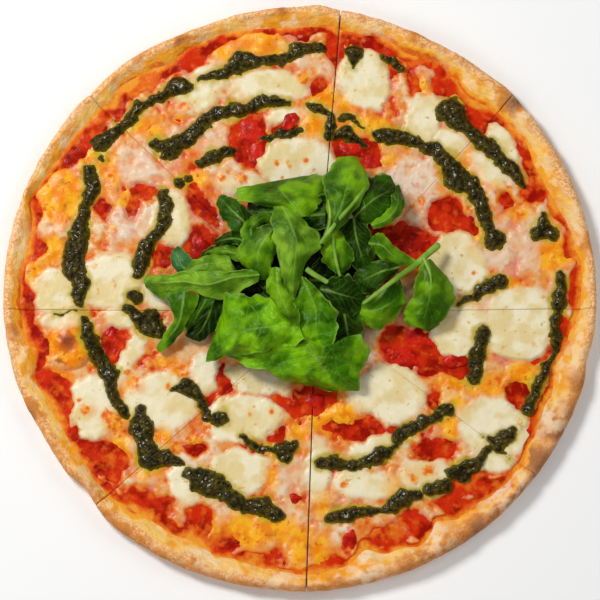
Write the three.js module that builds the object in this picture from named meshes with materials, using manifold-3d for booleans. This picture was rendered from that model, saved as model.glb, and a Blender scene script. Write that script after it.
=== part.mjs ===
// A 30 cm margherita pizza cut in eight slices, topped with pesto streaks, tomato pieces
// and a heap of rocket leaves. Millimetres, +Z up, origin at the centre of the underside.
import * as THREE from "three";
import Module from "manifold-3d";

const wasm = await Module();
wasm.setup();

// Overall sizes
const RADIUS = 150;
const CUT_CENTRE = [8, -9];
const CUTS = [0.6, 48, 85.3, 136, 179.6, 221.8, 268, 322.9];
const KERF = 1;
const GAP = 0.3;

// Heights of the layers
const CRUST_TOP = 4.5;
const RIM_TOP = 11.6;
const SAUCE_TOP = 6;
const CHEESE_BOTTOM = SAUCE_TOP + GAP;
const FILM = 0.8;
const HEAP_BOTTOM = 7.6;

// Widths of the rings
const RIM_INNER = 140.5;
const SAUCE_RING = 6;
const FOOT_LIP = 0.6;
const SAUCE_LIP = 0.5;
const CHEESE_LIP = 0.6;
const PESTO_MARGIN = 3;

// Section of the puffed rim: [share of its width, step in mm, share of its height]
const RIM_SECTION = [
  [0, FOOT_LIP, 0.66],
  [0.3, 0, 0.94],
  [0.55, 0, 1],
  [1, -1.6, 0.84],
  [1, 0, 0.52],
  [1, -1.1, 0.16],
  [1, -5, 0],
];

// [angle, spread in degrees, depth]: where the outer edge is pulled in
const DENTS = [
  [62, 14, 1.6],
  [112, 8, 1.8],
  [211, 10, 2.4],
  [223, 4, 3.5],
  [347, 3, 1.2],
];

// [angle, spread in degrees, growth]: where the rim is blistered and wider towards the sauce
const BLISTERS = [
  [30, 12, 3.5],
  [50, 8, 6],
  [67, 6, 3],
  [92, 8, 2],
  [120, 4, 2.5],
  [205, 14, 3.5],
  [241, 10, 6],
  [284, 4, 7],
  [301, 4, 7],
  [341, 9, 7.5],
];

// White pools of mozzarella: [x, y, half length, half width, tilt, rise]
const POOLS = [
  [-15, 108, 19, 9, 3, 2],
  [-1, 72, 18, 12, -5, 1.8],
  [33, 109, 15, 12, -60, 1.8],
  [66, 88, 10, 12, 0, 2],
  [102, 68, 14, 7, -50, 1.6],
  [-50, 103, 12, 8, 20, 1.8],
  [-80, 65, 14, 11, 0, 1.6],
  [-64, 38, 9, 13, 0, 2],
  [-94, 7, 14, 12, 0, 2],
  [-123, 1, 10, 9, 0, 1.8],
  [-115, -27, 11, 12, 0, 4.5],
  [-86, -31, 11, 6, 60, 2],
  [-70, -55, 16, 12, 0, 2],
  [-103, -59, 11, 12, 0, 2],
  [-28, -63, 17, 11, 0, 2],
  [-30, -90, 13, 11, 0, 2],
  [0, -93, 14, 10, 0, 2],
  [36, -80, 13, 8, 20, 2],
  [46, -50, 16, 13, 0, 2],
  [62, -93, 11, 8, 0, 2],
  [98, -70, 17, 13, -20, 2],
  [110, -15, 15, 16, 0, 2],
  [80, 15, 13, 14, 0, 1.8],
  [107, 26, 17, 13, 0, 2],
];

// Pesto streaks by slice: each a path of [x, y, width]
const PESTO = [
  [
    [[93, 47, 8], [95, 38, 7], [99, 29, 10]],
    [[116, 60, 6], [108, 65, 8], [100, 72, 8]],
  ],
  [
    [[41, 82, 7], [52, 82, 8], [64, 76, 7], [75, 68, 9], [80, 62, 11]],
    [[78, 96, 8], [82, 89, 10]],
    [[23, 84, 6], [30, 79, 5]],
    [[43, 121, 5], [52, 117, 5]],
  ],
  [
    [[-50, 111, 5], [-40, 114, 6], [-28, 120, 10], [-12, 122, 7], [2, 126, 7]],
    [[-72, 77, 7], [-60, 79, 9], [-45, 92, 7], [-30, 95, 7], [-14, 99, 6]],
    [[-50, 68, 6], [-38, 73, 6]],
    [[-12, 82, 5], [-4, 84, 6]],
  ],
  [
    [[-102, 80, 8], [-96, 82, 7]],
    [[-107, 64, 7], [-106, 54, 8], [-110, 38, 7], [-113, 26, 10], [-114, 12, 9], [-112, 3, 8]],
    [[-69, 51, 6], [-69, 38, 7], [-77, 25, 7], [-81, 13, 7]],
  ],
  [
    [[-107, -18, 7], [-102, -31, 9], [-96, -43, 9], [-91, -56, 6]],
    [[-84, -13, 6], [-74, -17, 10]],
  ],
  [
    [[-79, -66, 9], [-76, -80, 9], [-66, -84, 7]],
    [[-54, -93, 8], [-42, -98, 11], [-29, -106, 8], [-15, -110, 9]],
    [[-60, -48, 6], [-50, -54, 7]],
    [[-22, -77, 5], [-8, -80, 7]],
  ],
  [
    [[12, -86, 6], [24, -88, 6], [38, -83, 7]],
    [[17, -113, 6], [30, -111, 6], [48, -106, 8], [62, -101, 6]],
    [[50, -71, 7], [60, -66, 8]],
    [[80, -90, 8], [88, -86, 7]],
  ],
  [
    [[132, 2, 7], [130, -10, 6], [128, -26, 6], [122, -42, 7], [117, -54, 7]],
    [[93, -21, 7], [88, -40, 8]],
    [[86, -14, 5], [98, -13, 6]],
  ],
];

// Roasted tomato pieces: [x, y, half length, half width, tilt]
const TOMATOES = [
  [-25, 79, 13, 7.5, 85],
  [30, 72, 12, 4.8, -20],
  [-94, -26, 11, 3.8, 78],
  [56, 27, 10.5, 7, -10],
  [60, -21, 10, 5.5, -10],
  [50, -32.5, 10.5, 5.5, -20],
  [-51, 24, 6.5, 5, 80],
  [7, -54, 6, 3.6, 0],
  [-3, -104, 4, 3, 0],
  [25, -124, 5, 3, 90],
  [78, -33, 5, 4, 0],
  [-5, 90, 4.2, 3.8, 0],
];
const TOMATO_RISE = 2.3;
const TOMATO_MIDDLE = CHEESE_BOTTOM + 2.9;

// Rocket leaves: stalk end, middle and tip as [x, y, z], then half width and roll
const LEAVES = [
  [[-10, 44, 26], [2, 22, 35], [-4, -5, 36], 10, 10],
  [[-12, -4, 28], [-24, -14, 33], [-44, -24, 18], 12, -20],
  [[-12, -34, 16], [6, -36, 20], [30, -34, 15], 12, 15],
  [[0, 6, 26], [8, -8, 31], [14, -24, 22], 10, -15],
  [[-34, 14, 20], [-24, 24, 27], [-16, 40, 24], 9, 20],
  [[-26, 8, 24], [-50, 8, 23], [-76, 4, 13], 9, 10],
  [[-58, 2, 19], [-66, -12, 15], [-70, -28, 12.5], 6, 0],
  [[-32, 46, 17], [-14, 52, 24], [10, 54, 17], 9, -10],
  [[20, 38, 20], [24, 52, 22], [26, 68, 14], 8, 10],
  [[30, 34, 20], [42, 46, 20], [50, 58, 13], 10, -10],
  [[12, -14, 24], [20, -4, 28], [30, 8, 24], 9, 10],
  [[16, 14, 24], [24, 24, 27], [34, 36, 20], 9, -15],
  [[30, 20, 22], [44, 24, 22], [58, 22, 14], 8, 10],
  [[46, 4, 20], [60, 0, 22], [76, -6, 13], 12, -10],
  [[26, -8, 21], [40, -6, 21], [54, -14, 14], 9, 10],
  [[-38, 2, 19], [-48, -6, 16], [-56, -18, 12.5], 9, 0],
];
const LEAF_THICKNESS = 0.9;
const HEAP_CORE = [44, 36];
const HEAP_MIDDLE_Y = 6;

const rad = THREE.MathUtils.degToRad;

// How far an angle in degrees lies inside a bump of the given spread, from 0 to 1.
function bump(angle, centre, spread) {
  const away = THREE.MathUtils.euclideanModulo(angle - centre + 180, 360) - 180;
  return Math.exp(-((away / spread) ** 2));
}

function outerRadius(angle) {
  return DENTS.reduce((r, [a, s, depth]) => r - depth * bump(angle, a, s), RADIUS);
}

function innerRadius(angle) {
  return BLISTERS.reduce((r, [a, s, grow]) => r - grow * bump(angle, a, s), RIM_INNER);
}

// Distance from a slice's point, along a ray, to the curve radiusAt about the pizza's centre.
function reach(apex, angle, radiusAt) {
  const [dx, dy] = [Math.cos(angle), Math.sin(angle)];
  let length = RADIUS;
  for (let i = 0; i < 12; i++) {
    const x = apex[0] + dx * length;
    const y = apex[1] + dy * length;
    const want = radiusAt(THREE.MathUtils.radToDeg(Math.atan2(y, x)));
    length += want - Math.hypot(x, y);
  }
  return length;
}

// The point of one slice and its two side angles, half the kerf in from the cuts.
function sliceOf(index, side) {
  const start = rad(CUTS[index]);
  const end = rad(CUTS[(index + 1) % CUTS.length] + (index === CUTS.length - 1 ? 360 : 0));
  const middle = (start + end) / 2;
  const back = side / Math.sin((end - start) / 2);
  return {
    start,
    end,
    apex: [CUT_CENTRE[0] + Math.cos(middle) * back, CUT_CENTRE[1] + Math.sin(middle) * back],
  };
}

function meshOf(name, geometry, material) {
  const mesh = new THREE.Mesh(geometry, material);
  mesh.name = name;
  return mesh;
}

function geometryOf(positions, faces) {
  const geometry = new THREE.BufferGeometry();
  geometry.setAttribute("position", new THREE.Float32BufferAttribute(positions.flat(), 3));
  geometry.setIndex(faces.flat());
  geometry.computeVertexNormals();
  return geometry;
}

// A wedge whose cross-section loop [distance, height] is given at each angle. The loop's first
// and last points lie at the slice's point, so the sections meet in one upright edge there.
function wedge(slice, steps, loopAt) {
  const rows = [];
  for (let i = 0; i <= steps; i++) {
    const angle = slice.start + ((slice.end - slice.start) * i) / steps;
    rows.push(
      loopAt(angle).map(([d, z]) => [
        slice.apex[0] + Math.cos(angle) * d,
        slice.apex[1] + Math.sin(angle) * d,
        z,
      ]),
    );
  }
  const count = rows[0].length;
  const shared = [rows[0][0], rows[0][count - 1]];
  const inner = rows.map((row) => row.slice(1, -1));
  const positions = [...shared, ...inner.flat()];
  const width = count - 2;
  const at = (i, j) => {
    if (j === 0) return 0;
    return j === count - 1 ? 1 : 2 + i * width + j - 1;
  };
  const faces = [];
  for (let i = 0; i < steps; i++) {
    for (let j = 0; j < count - 1; j++) {
      if (j > 0) faces.push([at(i, j), at(i, j + 1), at(i + 1, j)]);
      if (j < count - 2) faces.push([at(i + 1, j), at(i, j + 1), at(i + 1, j + 1)]);
    }
  }
  for (const i of [0, steps]) {
    const outline = loopAt(i ? slice.end : slice.start).map(([d, z]) => new THREE.Vector2(d, z));
    for (const [a, b, c] of THREE.ShapeUtils.triangulateShape(outline, [])) {
      const face = [at(i, a), at(i, b), at(i, c)];
      faces.push(i ? face.reverse() : face);
    }
  }
  return geometryOf(positions, faces);
}

function solidOf(geometry) {
  const solid = new wasm.Manifold(
    new wasm.Mesh({
      numProp: 3,
      vertProperties: geometry.attributes.position.array,
      triVerts: new Uint32Array(geometry.index.array),
    }),
  );
  if (solid.volume() < 0) throw new Error("a solid is inside out");
  return solid;
}

function geometryFrom(solid) {
  const mesh = solid.getMesh();
  const geometry = new THREE.BufferGeometry();
  geometry.setAttribute("position", new THREE.BufferAttribute(mesh.vertProperties, 3));
  geometry.setIndex(new THREE.BufferAttribute(mesh.triVerts, 1));
  return geometry;
}

// The largest of a solid's bodies, without slivers that a cut leaves behind.
function mainBody(solid) {
  return solid.decompose().reduce((a, b) => (b.volume() > a.volume() ? b : a));
}

// Baked dough: flat base with a puffed, uneven rim.
function crust(index) {
  const slice = sliceOf(index, KERF / 2);
  return wedge(slice, 12, (angle) => {
    const outer = reach(slice.apex, angle, outerRadius);
    const inner = reach(slice.apex, angle, innerRadius);
    const top = RIM_TOP + 0.9 * Math.sin(angle * 9) + 0.6 * Math.sin(angle * 23);
    const width = outer - inner;
    return [
      [0, CRUST_TOP],
      [inner - FOOT_LIP, CRUST_TOP],
      ...RIM_SECTION.map(([across, step, high]) => [inner + width * across + step, top * high]),
      [0, 0],
    ];
  });
}

// Tomato sauce spread over the base, up to the foot of the rim.
function sauce(index) {
  const slice = sliceOf(index, KERF / 2);
  return wedge(slice, 12, (angle) => {
    const edge = reach(slice.apex, angle, innerRadius) - FOOT_LIP - GAP;
    return [
      [0, SAUCE_TOP],
      [edge - SAUCE_LIP, SAUCE_TOP],
      [edge, CRUST_TOP + 2 * GAP],
      [edge - SAUCE_LIP, CRUST_TOP + GAP],
      [0, CRUST_TOP + GAP],
    ];
  });
}

// Height of the melted cheese above the sauce at a place.
function cheeseTop(x, y) {
  let rise = 0;
  for (const [px, py, a, b, tilt, up] of POOLS) {
    const [c, s] = [Math.cos(rad(tilt)), Math.sin(rad(tilt))];
    const u = ((x - px) * c + (y - py) * s) / a;
    const v = ((y - py) * c - (x - px) * s) / b;
    rise = Math.max(rise, up * Math.exp(-((u * u + v * v) ** 2)));
  }
  return CHEESE_BOTTOM + FILM + rise;
}

function cheeseSheet(index) {
  const slice = sliceOf(index, KERF / 2);
  const edgeRadius = (angle) =>
    innerRadius(angle) - SAUCE_RING - 2 * Math.sin(rad(angle * 11)) - 1.5 * Math.sin(rad(angle * 19));
  const rings = 12;
  return wedge(slice, 14, (angle) => {
    const edge = reach(slice.apex, angle, edgeRadius);
    const loop = [];
    for (let ring = 0; ring < rings; ring++) {
      const distance = ((edge - 2 * CHEESE_LIP) * ring) / (rings - 1);
      const x = slice.apex[0] + Math.cos(angle) * distance;
      const y = slice.apex[1] + Math.sin(angle) * distance;
      loop.push([distance, ring ? cheeseTop(x, y) : CHEESE_BOTTOM + FILM]);
    }
    loop.push([edge, CHEESE_BOTTOM + FILM / 2]);
    loop.push([edge - CHEESE_LIP, CHEESE_BOTTOM], [0, CHEESE_BOTTOM]);
    return loop;
  });
}

// A streak of thick pesto lying on the cheese: a half-round cord along its path, flat below.
const STREAK_MIDDLE = CHEESE_BOTTOM + 2.1;
const STREAK_RISE = 2.2;
const STREAK_BELOW = -0.35;
const STREAK_END = 0.45;

function streak(path) {
  const sides = 7;
  const curve = new THREE.CatmullRomCurve3(path.map(([x, y]) => new THREE.Vector3(x, y, 0)));
  const steps = 3 * (path.length - 1);
  const positions = [];
  for (let i = 0; i <= steps; i++) {
    const t = i / steps;
    const at = t * (path.length - 1);
    const k = Math.min(Math.floor(at), path.length - 2);
    const width = THREE.MathUtils.lerp(path[k][2], path[k + 1][2], at - k);
    const half = (width / 2) * (i === 0 || i === steps ? STREAK_END : 1);
    const { x, y } = curve.getPoint(t);
    const along = curve.getTangent(t);
    for (let j = 0; j < sides; j++) {
      const turn = (j / sides) * 2 * Math.PI;
      const side = Math.cos(turn) * half;
      const rise = Math.max(Math.sin(turn), STREAK_BELOW) * Math.min(STREAK_RISE, half * 0.7);
      positions.push([x - along.y * side, y + along.x * side, STREAK_MIDDLE + rise]);
    }
  }
  const faces = [];
  for (let i = 0; i < steps; i++) {
    for (let j = 0; j < sides; j++) {
      const [a, b] = [i * sides + j, i * sides + ((j + 1) % sides)];
      faces.push([a, b, a + sides], [b, b + sides, a + sides]);
    }
  }
  for (let j = 1; j < sides - 1; j++) {
    faces.push([0, j + 1, j]);
    const last = steps * sides;
    faces.push([last, last + j, last + j + 1]);
  }
  return geometryOf(positions, faces);
}

// Space over one slice, a little in from its cuts, that keeps a streak out of the kerf.
const SPACE_TOP = 20;

function sliceSpace(index) {
  const slice = sliceOf(index, KERF / 2 + 0.1);
  return solidOf(
    wedge(slice, 12, (angle) => {
      const edge = reach(slice.apex, angle, innerRadius) - PESTO_MARGIN;
      return [[0, SPACE_TOP], [edge, SPACE_TOP], [edge, CHEESE_BOTTOM], [0, CHEESE_BOTTOM]];
    }),
  );
}

// A roasted tomato piece: a flattened lump, made larger by grow to cut its own hollow.
function tomato([x, y, length, width, tilt], grow) {
  const geometry = new THREE.IcosahedronGeometry(1, 2);
  geometry.deleteAttribute("normal");
  geometry.deleteAttribute("uv");
  geometry.scale(length + grow, width + grow, TOMATO_RISE + grow);
  geometry.rotateZ(rad(tilt));
  geometry.translate(x, y, TOMATO_MIDDLE);
  return geometry;
}

function indexed(geometry) {
  const corners = geometry.attributes.position;
  const seen = new Map();
  const positions = [];
  const order = [];
  for (let i = 0; i < corners.count; i++) {
    const point = [corners.getX(i), corners.getY(i), corners.getZ(i)];
    const key = point.map((value) => value.toFixed(3)).join();
    if (!seen.has(key)) {
      seen.set(key, positions.length);
      positions.push(point);
    }
    order.push(seen.get(key));
  }
  return geometryOf(positions, order);
}

// Melted cheese of one slice with its pesto fused on, and hollows where tomato pieces lie.
function cheese(index) {
  let solid = solidOf(cheeseSheet(index));
  const space = sliceSpace(index);
  for (const path of PESTO[index]) {
    solid = solid.add(solidOf(streak(path)).intersect(space));
  }
  for (const row of TOMATOES) {
    solid = solid.subtract(solidOf(indexed(tomato(row, GAP + 0.1))));
  }
  return mainBody(solid);
}

// A thin wavy leaf: wide in the middle, cupped along its rib, the same thickness all over.
function leaf([base, middle, tip, half, roll]) {
  const curve = new THREE.QuadraticBezierCurve3(
    new THREE.Vector3(...base),
    new THREE.Vector3(
      2 * middle[0] - (base[0] + tip[0]) / 2,
      2 * middle[1] - (base[1] + tip[1]) / 2,
      2 * middle[2] - (base[2] + tip[2]) / 2,
    ),
    new THREE.Vector3(...tip),
  );
  const [long, across] = [6, 4];
  const positions = [];
  for (const offset of [LEAF_THICKNESS / 2, -LEAF_THICKNESS / 2]) {
    for (let i = 0; i <= long; i++) {
      const t = i / long;
      const centre = curve.getPoint(t);
      const along = curve.getTangent(t);
      const flat = new THREE.Vector3(-along.y, along.x, 0).normalize();
      const side = flat.applyAxisAngle(along, rad(roll));
      const up = new THREE.Vector3().crossVectors(along, side);
      const reachOut = half * Math.sin(Math.PI * (0.12 + 0.8 * t)) ** 0.8;
      for (let j = 0; j <= across; j++) {
        const v = (2 * j) / across - 1;
        const wave = 0.09 * half * Math.sin(5 * t + 2 * v) + 0.16 * half * v * v;
        const point = centre.clone();
        point.addScaledVector(side, v * reachOut);
        point.addScaledVector(up, wave + offset);
        positions.push([point.x, point.y, point.z]);
      }
    }
  }
  const row = across + 1;
  const sheet = row * (long + 1);
  const faces = [];
  for (let i = 0; i < long; i++) {
    for (let j = 0; j < across; j++) {
      const a = i * row + j;
      faces.push([a, a + row, a + 1], [a + 1, a + row, a + row + 1]);
      const b = a + sheet;
      faces.push([b, b + 1, b + row], [b + 1, b + row + 1, b + row]);
    }
  }
  const edge = [];
  for (let j = 0; j < across; j++) edge.push(j);
  for (let i = 0; i < long; i++) edge.push(i * row + across);
  for (let j = across; j > 0; j--) edge.push(long * row + j);
  for (let i = long; i > 0; i--) edge.push(i * row);
  edge.forEach((a, k) => {
    const b = edge[(k + 1) % edge.length];
    faces.push([a, b, a + sheet], [b, b + sheet, a + sheet]);
  });
  return geometryOf(positions, faces);
}

// The packed middle of the heap, which the outer leaves are fused to.
function heapCore() {
  const profile = [
    [0, HEAP_BOTTOM],
    [0.86, HEAP_BOTTOM],
    [1, 11],
    [0.96, 16],
    [0.78, 21],
    [0.5, 26],
    [0, 30],
  ];
  const turns = 18;
  const positions = [[0, 0, profile[0][1]], [0, 0, profile.at(-1)[1]]];
  const rings = profile.slice(1, -1);
  for (const [r, z] of rings) {
    for (let i = 0; i < turns; i++) {
      const angle = (i / turns) * 2 * Math.PI;
      const lobe = 1 + 0.1 * Math.sin(3 * angle + 1) + 0.05 * Math.sin(7 * angle);
      positions.push([
        HEAP_CORE[0] * r * lobe * Math.cos(angle),
        HEAP_CORE[1] * r * lobe * Math.sin(angle) + HEAP_MIDDLE_Y,
        z,
      ]);
    }
  }
  const faces = [];
  for (let i = 0; i < turns; i++) {
    const next = (i + 1) % turns;
    faces.push([0, 2 + next, 2 + i]);
    for (let k = 0; k < rings.length - 1; k++) {
      const [a, b] = [2 + k * turns + i, 2 + k * turns + next];
      faces.push([a, b, a + turns], [b, b + turns, a + turns]);
    }
    const top = 2 + (rings.length - 1) * turns;
    faces.push([1, top + i, top + next]);
  }
  return geometryOf(positions, faces);
}

// Rocket leaves heaped in the middle, cut clear of the cheese, pesto and tomatoes below.
function rocket(cheeses) {
  let heap = solidOf(heapCore());
  for (const row of LEAVES) heap = heap.add(solidOf(leaf(row)));
  for (const solid of cheeses) heap = heap.subtract(solid.translate([0, 0, GAP]));
  for (const row of TOMATOES) heap = heap.subtract(solidOf(indexed(tomato(row, GAP))));
  return mainBody(heap);
}

function materialOf(color, roughness) {
  return new THREE.MeshStandardMaterial({ color, roughness });
}

const crustMaterial = materialOf(0xe0b981, 0.8);
const sauceMaterial = materialOf(0xb8280f, 0.4);
const cheeseMaterial = materialOf(0xeadcb4, 0.45);
const tomatoMaterial = materialOf(0xa81508, 0.3);
const rocketMaterial = materialOf(0x5f8f24, 0.55);

const pizza = new THREE.Group();
pizza.name = "margherita_pizza";
const cheeses = CUTS.map((_, index) => cheese(index));
CUTS.forEach((_, index) => {
  const number = index + 1;
  pizza.add(meshOf(`crust_${number}`, crust(index), crustMaterial));
  pizza.add(meshOf(`sauce_${number}`, sauce(index), sauceMaterial));
  pizza.add(meshOf(`cheese_${number}`, geometryFrom(cheeses[index]), cheeseMaterial));
});
TOMATOES.forEach((row, index) => {
  pizza.add(meshOf(`tomato_${index + 1}`, indexed(tomato(row, 0)), tomatoMaterial));
});
pizza.add(meshOf("rocket", geometryFrom(rocket(cheeses)), rocketMaterial));

export default pizza;
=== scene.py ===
import math

import bpy
import numpy as np
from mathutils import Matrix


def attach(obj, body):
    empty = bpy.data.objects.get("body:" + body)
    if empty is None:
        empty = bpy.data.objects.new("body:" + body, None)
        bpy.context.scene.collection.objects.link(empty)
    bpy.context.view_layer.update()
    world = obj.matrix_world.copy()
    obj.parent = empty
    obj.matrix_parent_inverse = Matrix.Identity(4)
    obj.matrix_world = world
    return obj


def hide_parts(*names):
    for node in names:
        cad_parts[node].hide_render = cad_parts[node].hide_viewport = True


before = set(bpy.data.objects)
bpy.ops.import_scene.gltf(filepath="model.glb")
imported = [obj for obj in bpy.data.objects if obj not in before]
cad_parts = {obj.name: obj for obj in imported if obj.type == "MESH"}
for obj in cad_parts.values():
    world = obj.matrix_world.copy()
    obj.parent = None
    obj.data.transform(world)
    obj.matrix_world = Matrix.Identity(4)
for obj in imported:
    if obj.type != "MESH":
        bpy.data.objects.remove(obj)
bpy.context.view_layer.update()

# Crust. Eight wedges of baked wheat dough with a puffed rim, cut from one round base with a
# wheel cutter. The rim is dry, floury and blistered, toasted brown where it stood highest.
MM = 0.001
RADIUS = 150.0
CUT_CENTRE = (8.0, -9.0)
CUTS = (0.6, 48.0, 85.3, 136.0, 179.6, 221.8, 268.0, 322.9)
HALF_KERFS = (0.14, 0.24, 0.34, 0.1, 0.14, 0.34, 0.38, 0.1)
SOFT_HALF_KERFS = (0.1, 0.04, 0.22, 0.03, 0.1, 0.08, 0.28, 0.03)
POINT_ROUND = 0.2
BASE_TOP = 4.5
RIM_TOP = 10.2
RIM_INNER = 139.8
SLICES = range(1, len(CUTS) + 1)
EDGE_STEPS = 400
CRUST_GRID = (150, 150)
SEAM_GAP = 0.00002
# Along a slice's section: where its point, flat floor, rim's rise and rim's fall end.
POINT_END, FLOOR_END, RISE_END, FALL_END = 0.02, 0.16, 0.46, 0.88
# Each row: angle in degrees, spread in degrees, how far the outer edge is pulled in.
EDGE_DENTS = (
    (62, 14, 1.6), (112, 8, 1.8), (211, 10, 2.4), (223, 4, 3.5), (347, 3, 1.2),
    (45, 3, -0.8), (86, 3, -1.0), (98, 5, 0.6), (133, 3, 0.8), (136, 1.2, 1.0),
)
# Each row: angle, spread, how far a blister pushes the rim's foot towards the sauce.
FOOT_BLISTERS = (
    (6, 8, -2), (27, 9, 4.5), (50, 7, 6.5), (66, 5, 4), (77, 5, 2.2), (90, 4, 3), (98, 4, 2),
    (119, 4, 3), (134, 2, 2), (150, 8, -1), (160, 4, -4), (193, 3, 3), (207, 8, 4), (219, 5, 3),
    (237, 7, 5.5), (247, 5, 4.5), (256, 4, 3), (264, 3, 2), (284, 3, 8), (291, 3, 3.5),
    (301, 3, 8), (308, 4, 3), (326, 3, 2), (334, 5, 5), (343, 5, 7), (350, 4, 3.5),
)
# Each row: x, y, radius in millimetres, strength of a toasted patch on the rim.
TOASTED = (
    (-136, -61, 7, 0.85), (19, -146, 4, 0.7), (62, -133, 4, 0.7), (143, -45, 8, 0.8),
    (130, -68, 12, 0.9), (120, -85, 12, 0.9), (90, -121, 11, 0.9), (75, -132, 9, 0.8),
    (55, -140, 8, 0.7), (110, 101, 8, 0.95), (-10, 148, 5, 0.7), (-60, 131, 6, 0.7),
    (-85, 124, 7, 0.6), (-146, -20, 5, 0.5), (-105, -100, 8, 0.5), (-30, -147, 6, 0.5),
    (60, 137, 7, 0.5), (147, 25, 6, 0.5),
)
# Each row: angle, spread, how far the rim's outer side is browned.
BROWNED_SIDES = ((-38, 28, 0.75), (-90, 40, 0.45), (-140, 35, 0.35), (60, 25, 0.25), (120, 30, 0.2))
# Each row: x, y, radius, strength of a pale floury patch on the rim.
FLOURED = (
    (-12, -140, 11, 0.9), (-47, -130, 10, 0.8), (33, -136, 11, 1.0), (66, -122, 10, 1.0),
    (100, -100, 11, 1.0), (123, -62, 11, 0.9), (135, -35, 8, 0.7), (117, 90, 8, 0.7),
    (141, 40, 9, 0.6), (-142, 30, 8, 0.5), (-120, 82, 7, 0.5), (40, 138, 9, 0.6),
)
# Noise repeats after this many lumps, and starts far enough out to have no seam at zero.
NOISE_CELLS = 256
NOISE_SHIFT = 1000.0


def noise(x, y, size, seed):
    """Smooth random height from 0 to 1 that changes over about size millimetres."""
    lattice = np.random.default_rng(seed).random((NOISE_CELLS, NOISE_CELLS))
    gx, gy = x / size + NOISE_SHIFT, y / size + NOISE_SHIFT
    ix, iy = np.floor(gx).astype(int), np.floor(gy).astype(int)
    fx, fy = gx - ix, gy - iy
    fx, fy = fx * fx * (3 - 2 * fx), fy * fy * (3 - 2 * fy)
    left, right = ix % NOISE_CELLS, (ix + 1) % NOISE_CELLS
    near, far = iy % NOISE_CELLS, (iy + 1) % NOISE_CELLS
    low = lattice[near, left] * (1 - fx) + lattice[near, right] * fx
    high = lattice[far, left] * (1 - fx) + lattice[far, right] * fx
    return low * (1 - fy) + high * fy


def rough(x, y, size, seed):
    """Three layers of noise, each half the size and height of the last, about zero."""
    total = noise(x, y, size, seed) + noise(x, y, size / 2, seed + 1) / 2
    return (total + noise(x, y, size / 4, seed + 2) / 4) / 1.75 - 0.5


def ease(low, high, value):
    """0 below low, 1 above high, and smooth between."""
    share = np.clip((value - low) / (high - low), 0, 1)
    return share * share * (3 - 2 * share)


def bulge(degrees, rows):
    """Sum of the smooth bumps that rows of (angle, spread, height) make around the rim."""
    total = np.zeros_like(degrees)
    for centre, spread, height in rows:
        away = (degrees - centre + 180) % 360 - 180
        total += height * np.exp(-((away / spread) ** 2))
    return total


def outer_radius(degrees):
    return RADIUS - bulge(degrees, EDGE_DENTS)


def inner_radius(degrees):
    around = np.radians(degrees % 360) * RADIUS
    return RIM_INNER - bulge(degrees, FOOT_BLISTERS) + 3.5 * rough(around, 0 * around, 13, 15)


def slice_sides(number, half_kerfs=HALF_KERFS):
    """A slice's point and the angles of its two sides in radians, clear of the cuts."""
    last = len(CUTS)
    start = math.radians(CUTS[number - 1])
    end = math.radians(CUTS[number % last] + (360 if number == last else 0))
    inward = np.array(((-math.sin(start), math.cos(start)), (math.sin(end), -math.cos(end))))
    step = np.linalg.solve(inward, np.array((half_kerfs[number - 1], half_kerfs[number % last])))
    return (CUT_CENTRE[0] + step[0], CUT_CENTRE[1] + step[1]), start, end


def reach(point, angle, radius_at):
    """Distance from a slice's point along an angle to a curve around the pizza's centre."""
    length = np.full_like(angle, RADIUS)
    for _ in range(12):
        x = point[0] + np.cos(angle) * length
        y = point[1] + np.sin(angle) * length
        length += radius_at(np.degrees(np.arctan2(y, x))) - np.hypot(x, y)
    return length


def spots(x, y, rows):
    """Greatest strength of the round patches that rows of (x, y, radius, strength) give."""
    most = np.zeros_like(x)
    for cx, cy, radius, strength in rows:
        most = np.maximum(most, strength * np.exp(-((x - cx) ** 2 + (y - cy) ** 2) / radius ** 2))
    return most


def vertices_of(piece):
    """All of a piece's vertices in metres, one row each."""
    flat = np.empty(len(piece.data.vertices) * 3)
    piece.data.vertices.foreach_get("co", flat)
    return flat.reshape(-1, 3)


def move_vertices(piece, x, y, z):
    """Puts a piece's vertices at x, y and z in millimetres."""
    rows = np.stack((x, y, z), axis=1) * MM
    piece.data.vertices.foreach_set("co", rows.ravel())
    piece.data.update()


def warped_grid(name, grid, place):
    """A grid primitive whose corners place(u, v) moves; it gives x, y and z in millimetres."""
    bpy.ops.object.select_all(action="DESELECT")
    bpy.ops.mesh.primitive_grid_add(x_subdivisions=grid[0], y_subdivisions=grid[1], size=1)
    piece = bpy.context.object
    piece.name = piece.data.name = name
    flat = vertices_of(piece)
    move_vertices(piece, *place(flat[:, 0] + 0.5, flat[:, 1] + 0.5))
    return piece


def corners_of(piece):
    """The x, y and z of all of a piece's vertices, in millimetres."""
    rows = vertices_of(piece)
    return [rows[:, axis] / MM for axis in range(3)]


def weld(gap):
    """Merges the seam of the piece in hand and fills its ends, and stays in edit mode."""
    bpy.ops.object.mode_set(mode="EDIT")
    bpy.ops.mesh.select_all(action="SELECT")
    bpy.ops.mesh.remove_doubles(threshold=gap)
    bpy.ops.mesh.fill_holes(sides=0)
    bpy.ops.mesh.select_all(action="SELECT")


def paint(piece, name, values):
    """Stores one value for each vertex, for the material to read."""
    layer = piece.data.attributes.new(name, "FLOAT", "POINT")
    layer.data.foreach_set("value", np.asarray(values, dtype=np.float32))


def finish_piece(piece, material, slot, *nodes):
    """Smooth faces, the material, and the calls that fix the piece to the part."""
    bpy.ops.object.mode_set(mode="OBJECT")
    piece.data.polygons.foreach_set("use_smooth", np.ones(len(piece.data.polygons), dtype=bool))
    piece.data.materials.append(material)
    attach(piece, "root")
    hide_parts(*nodes)


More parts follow.
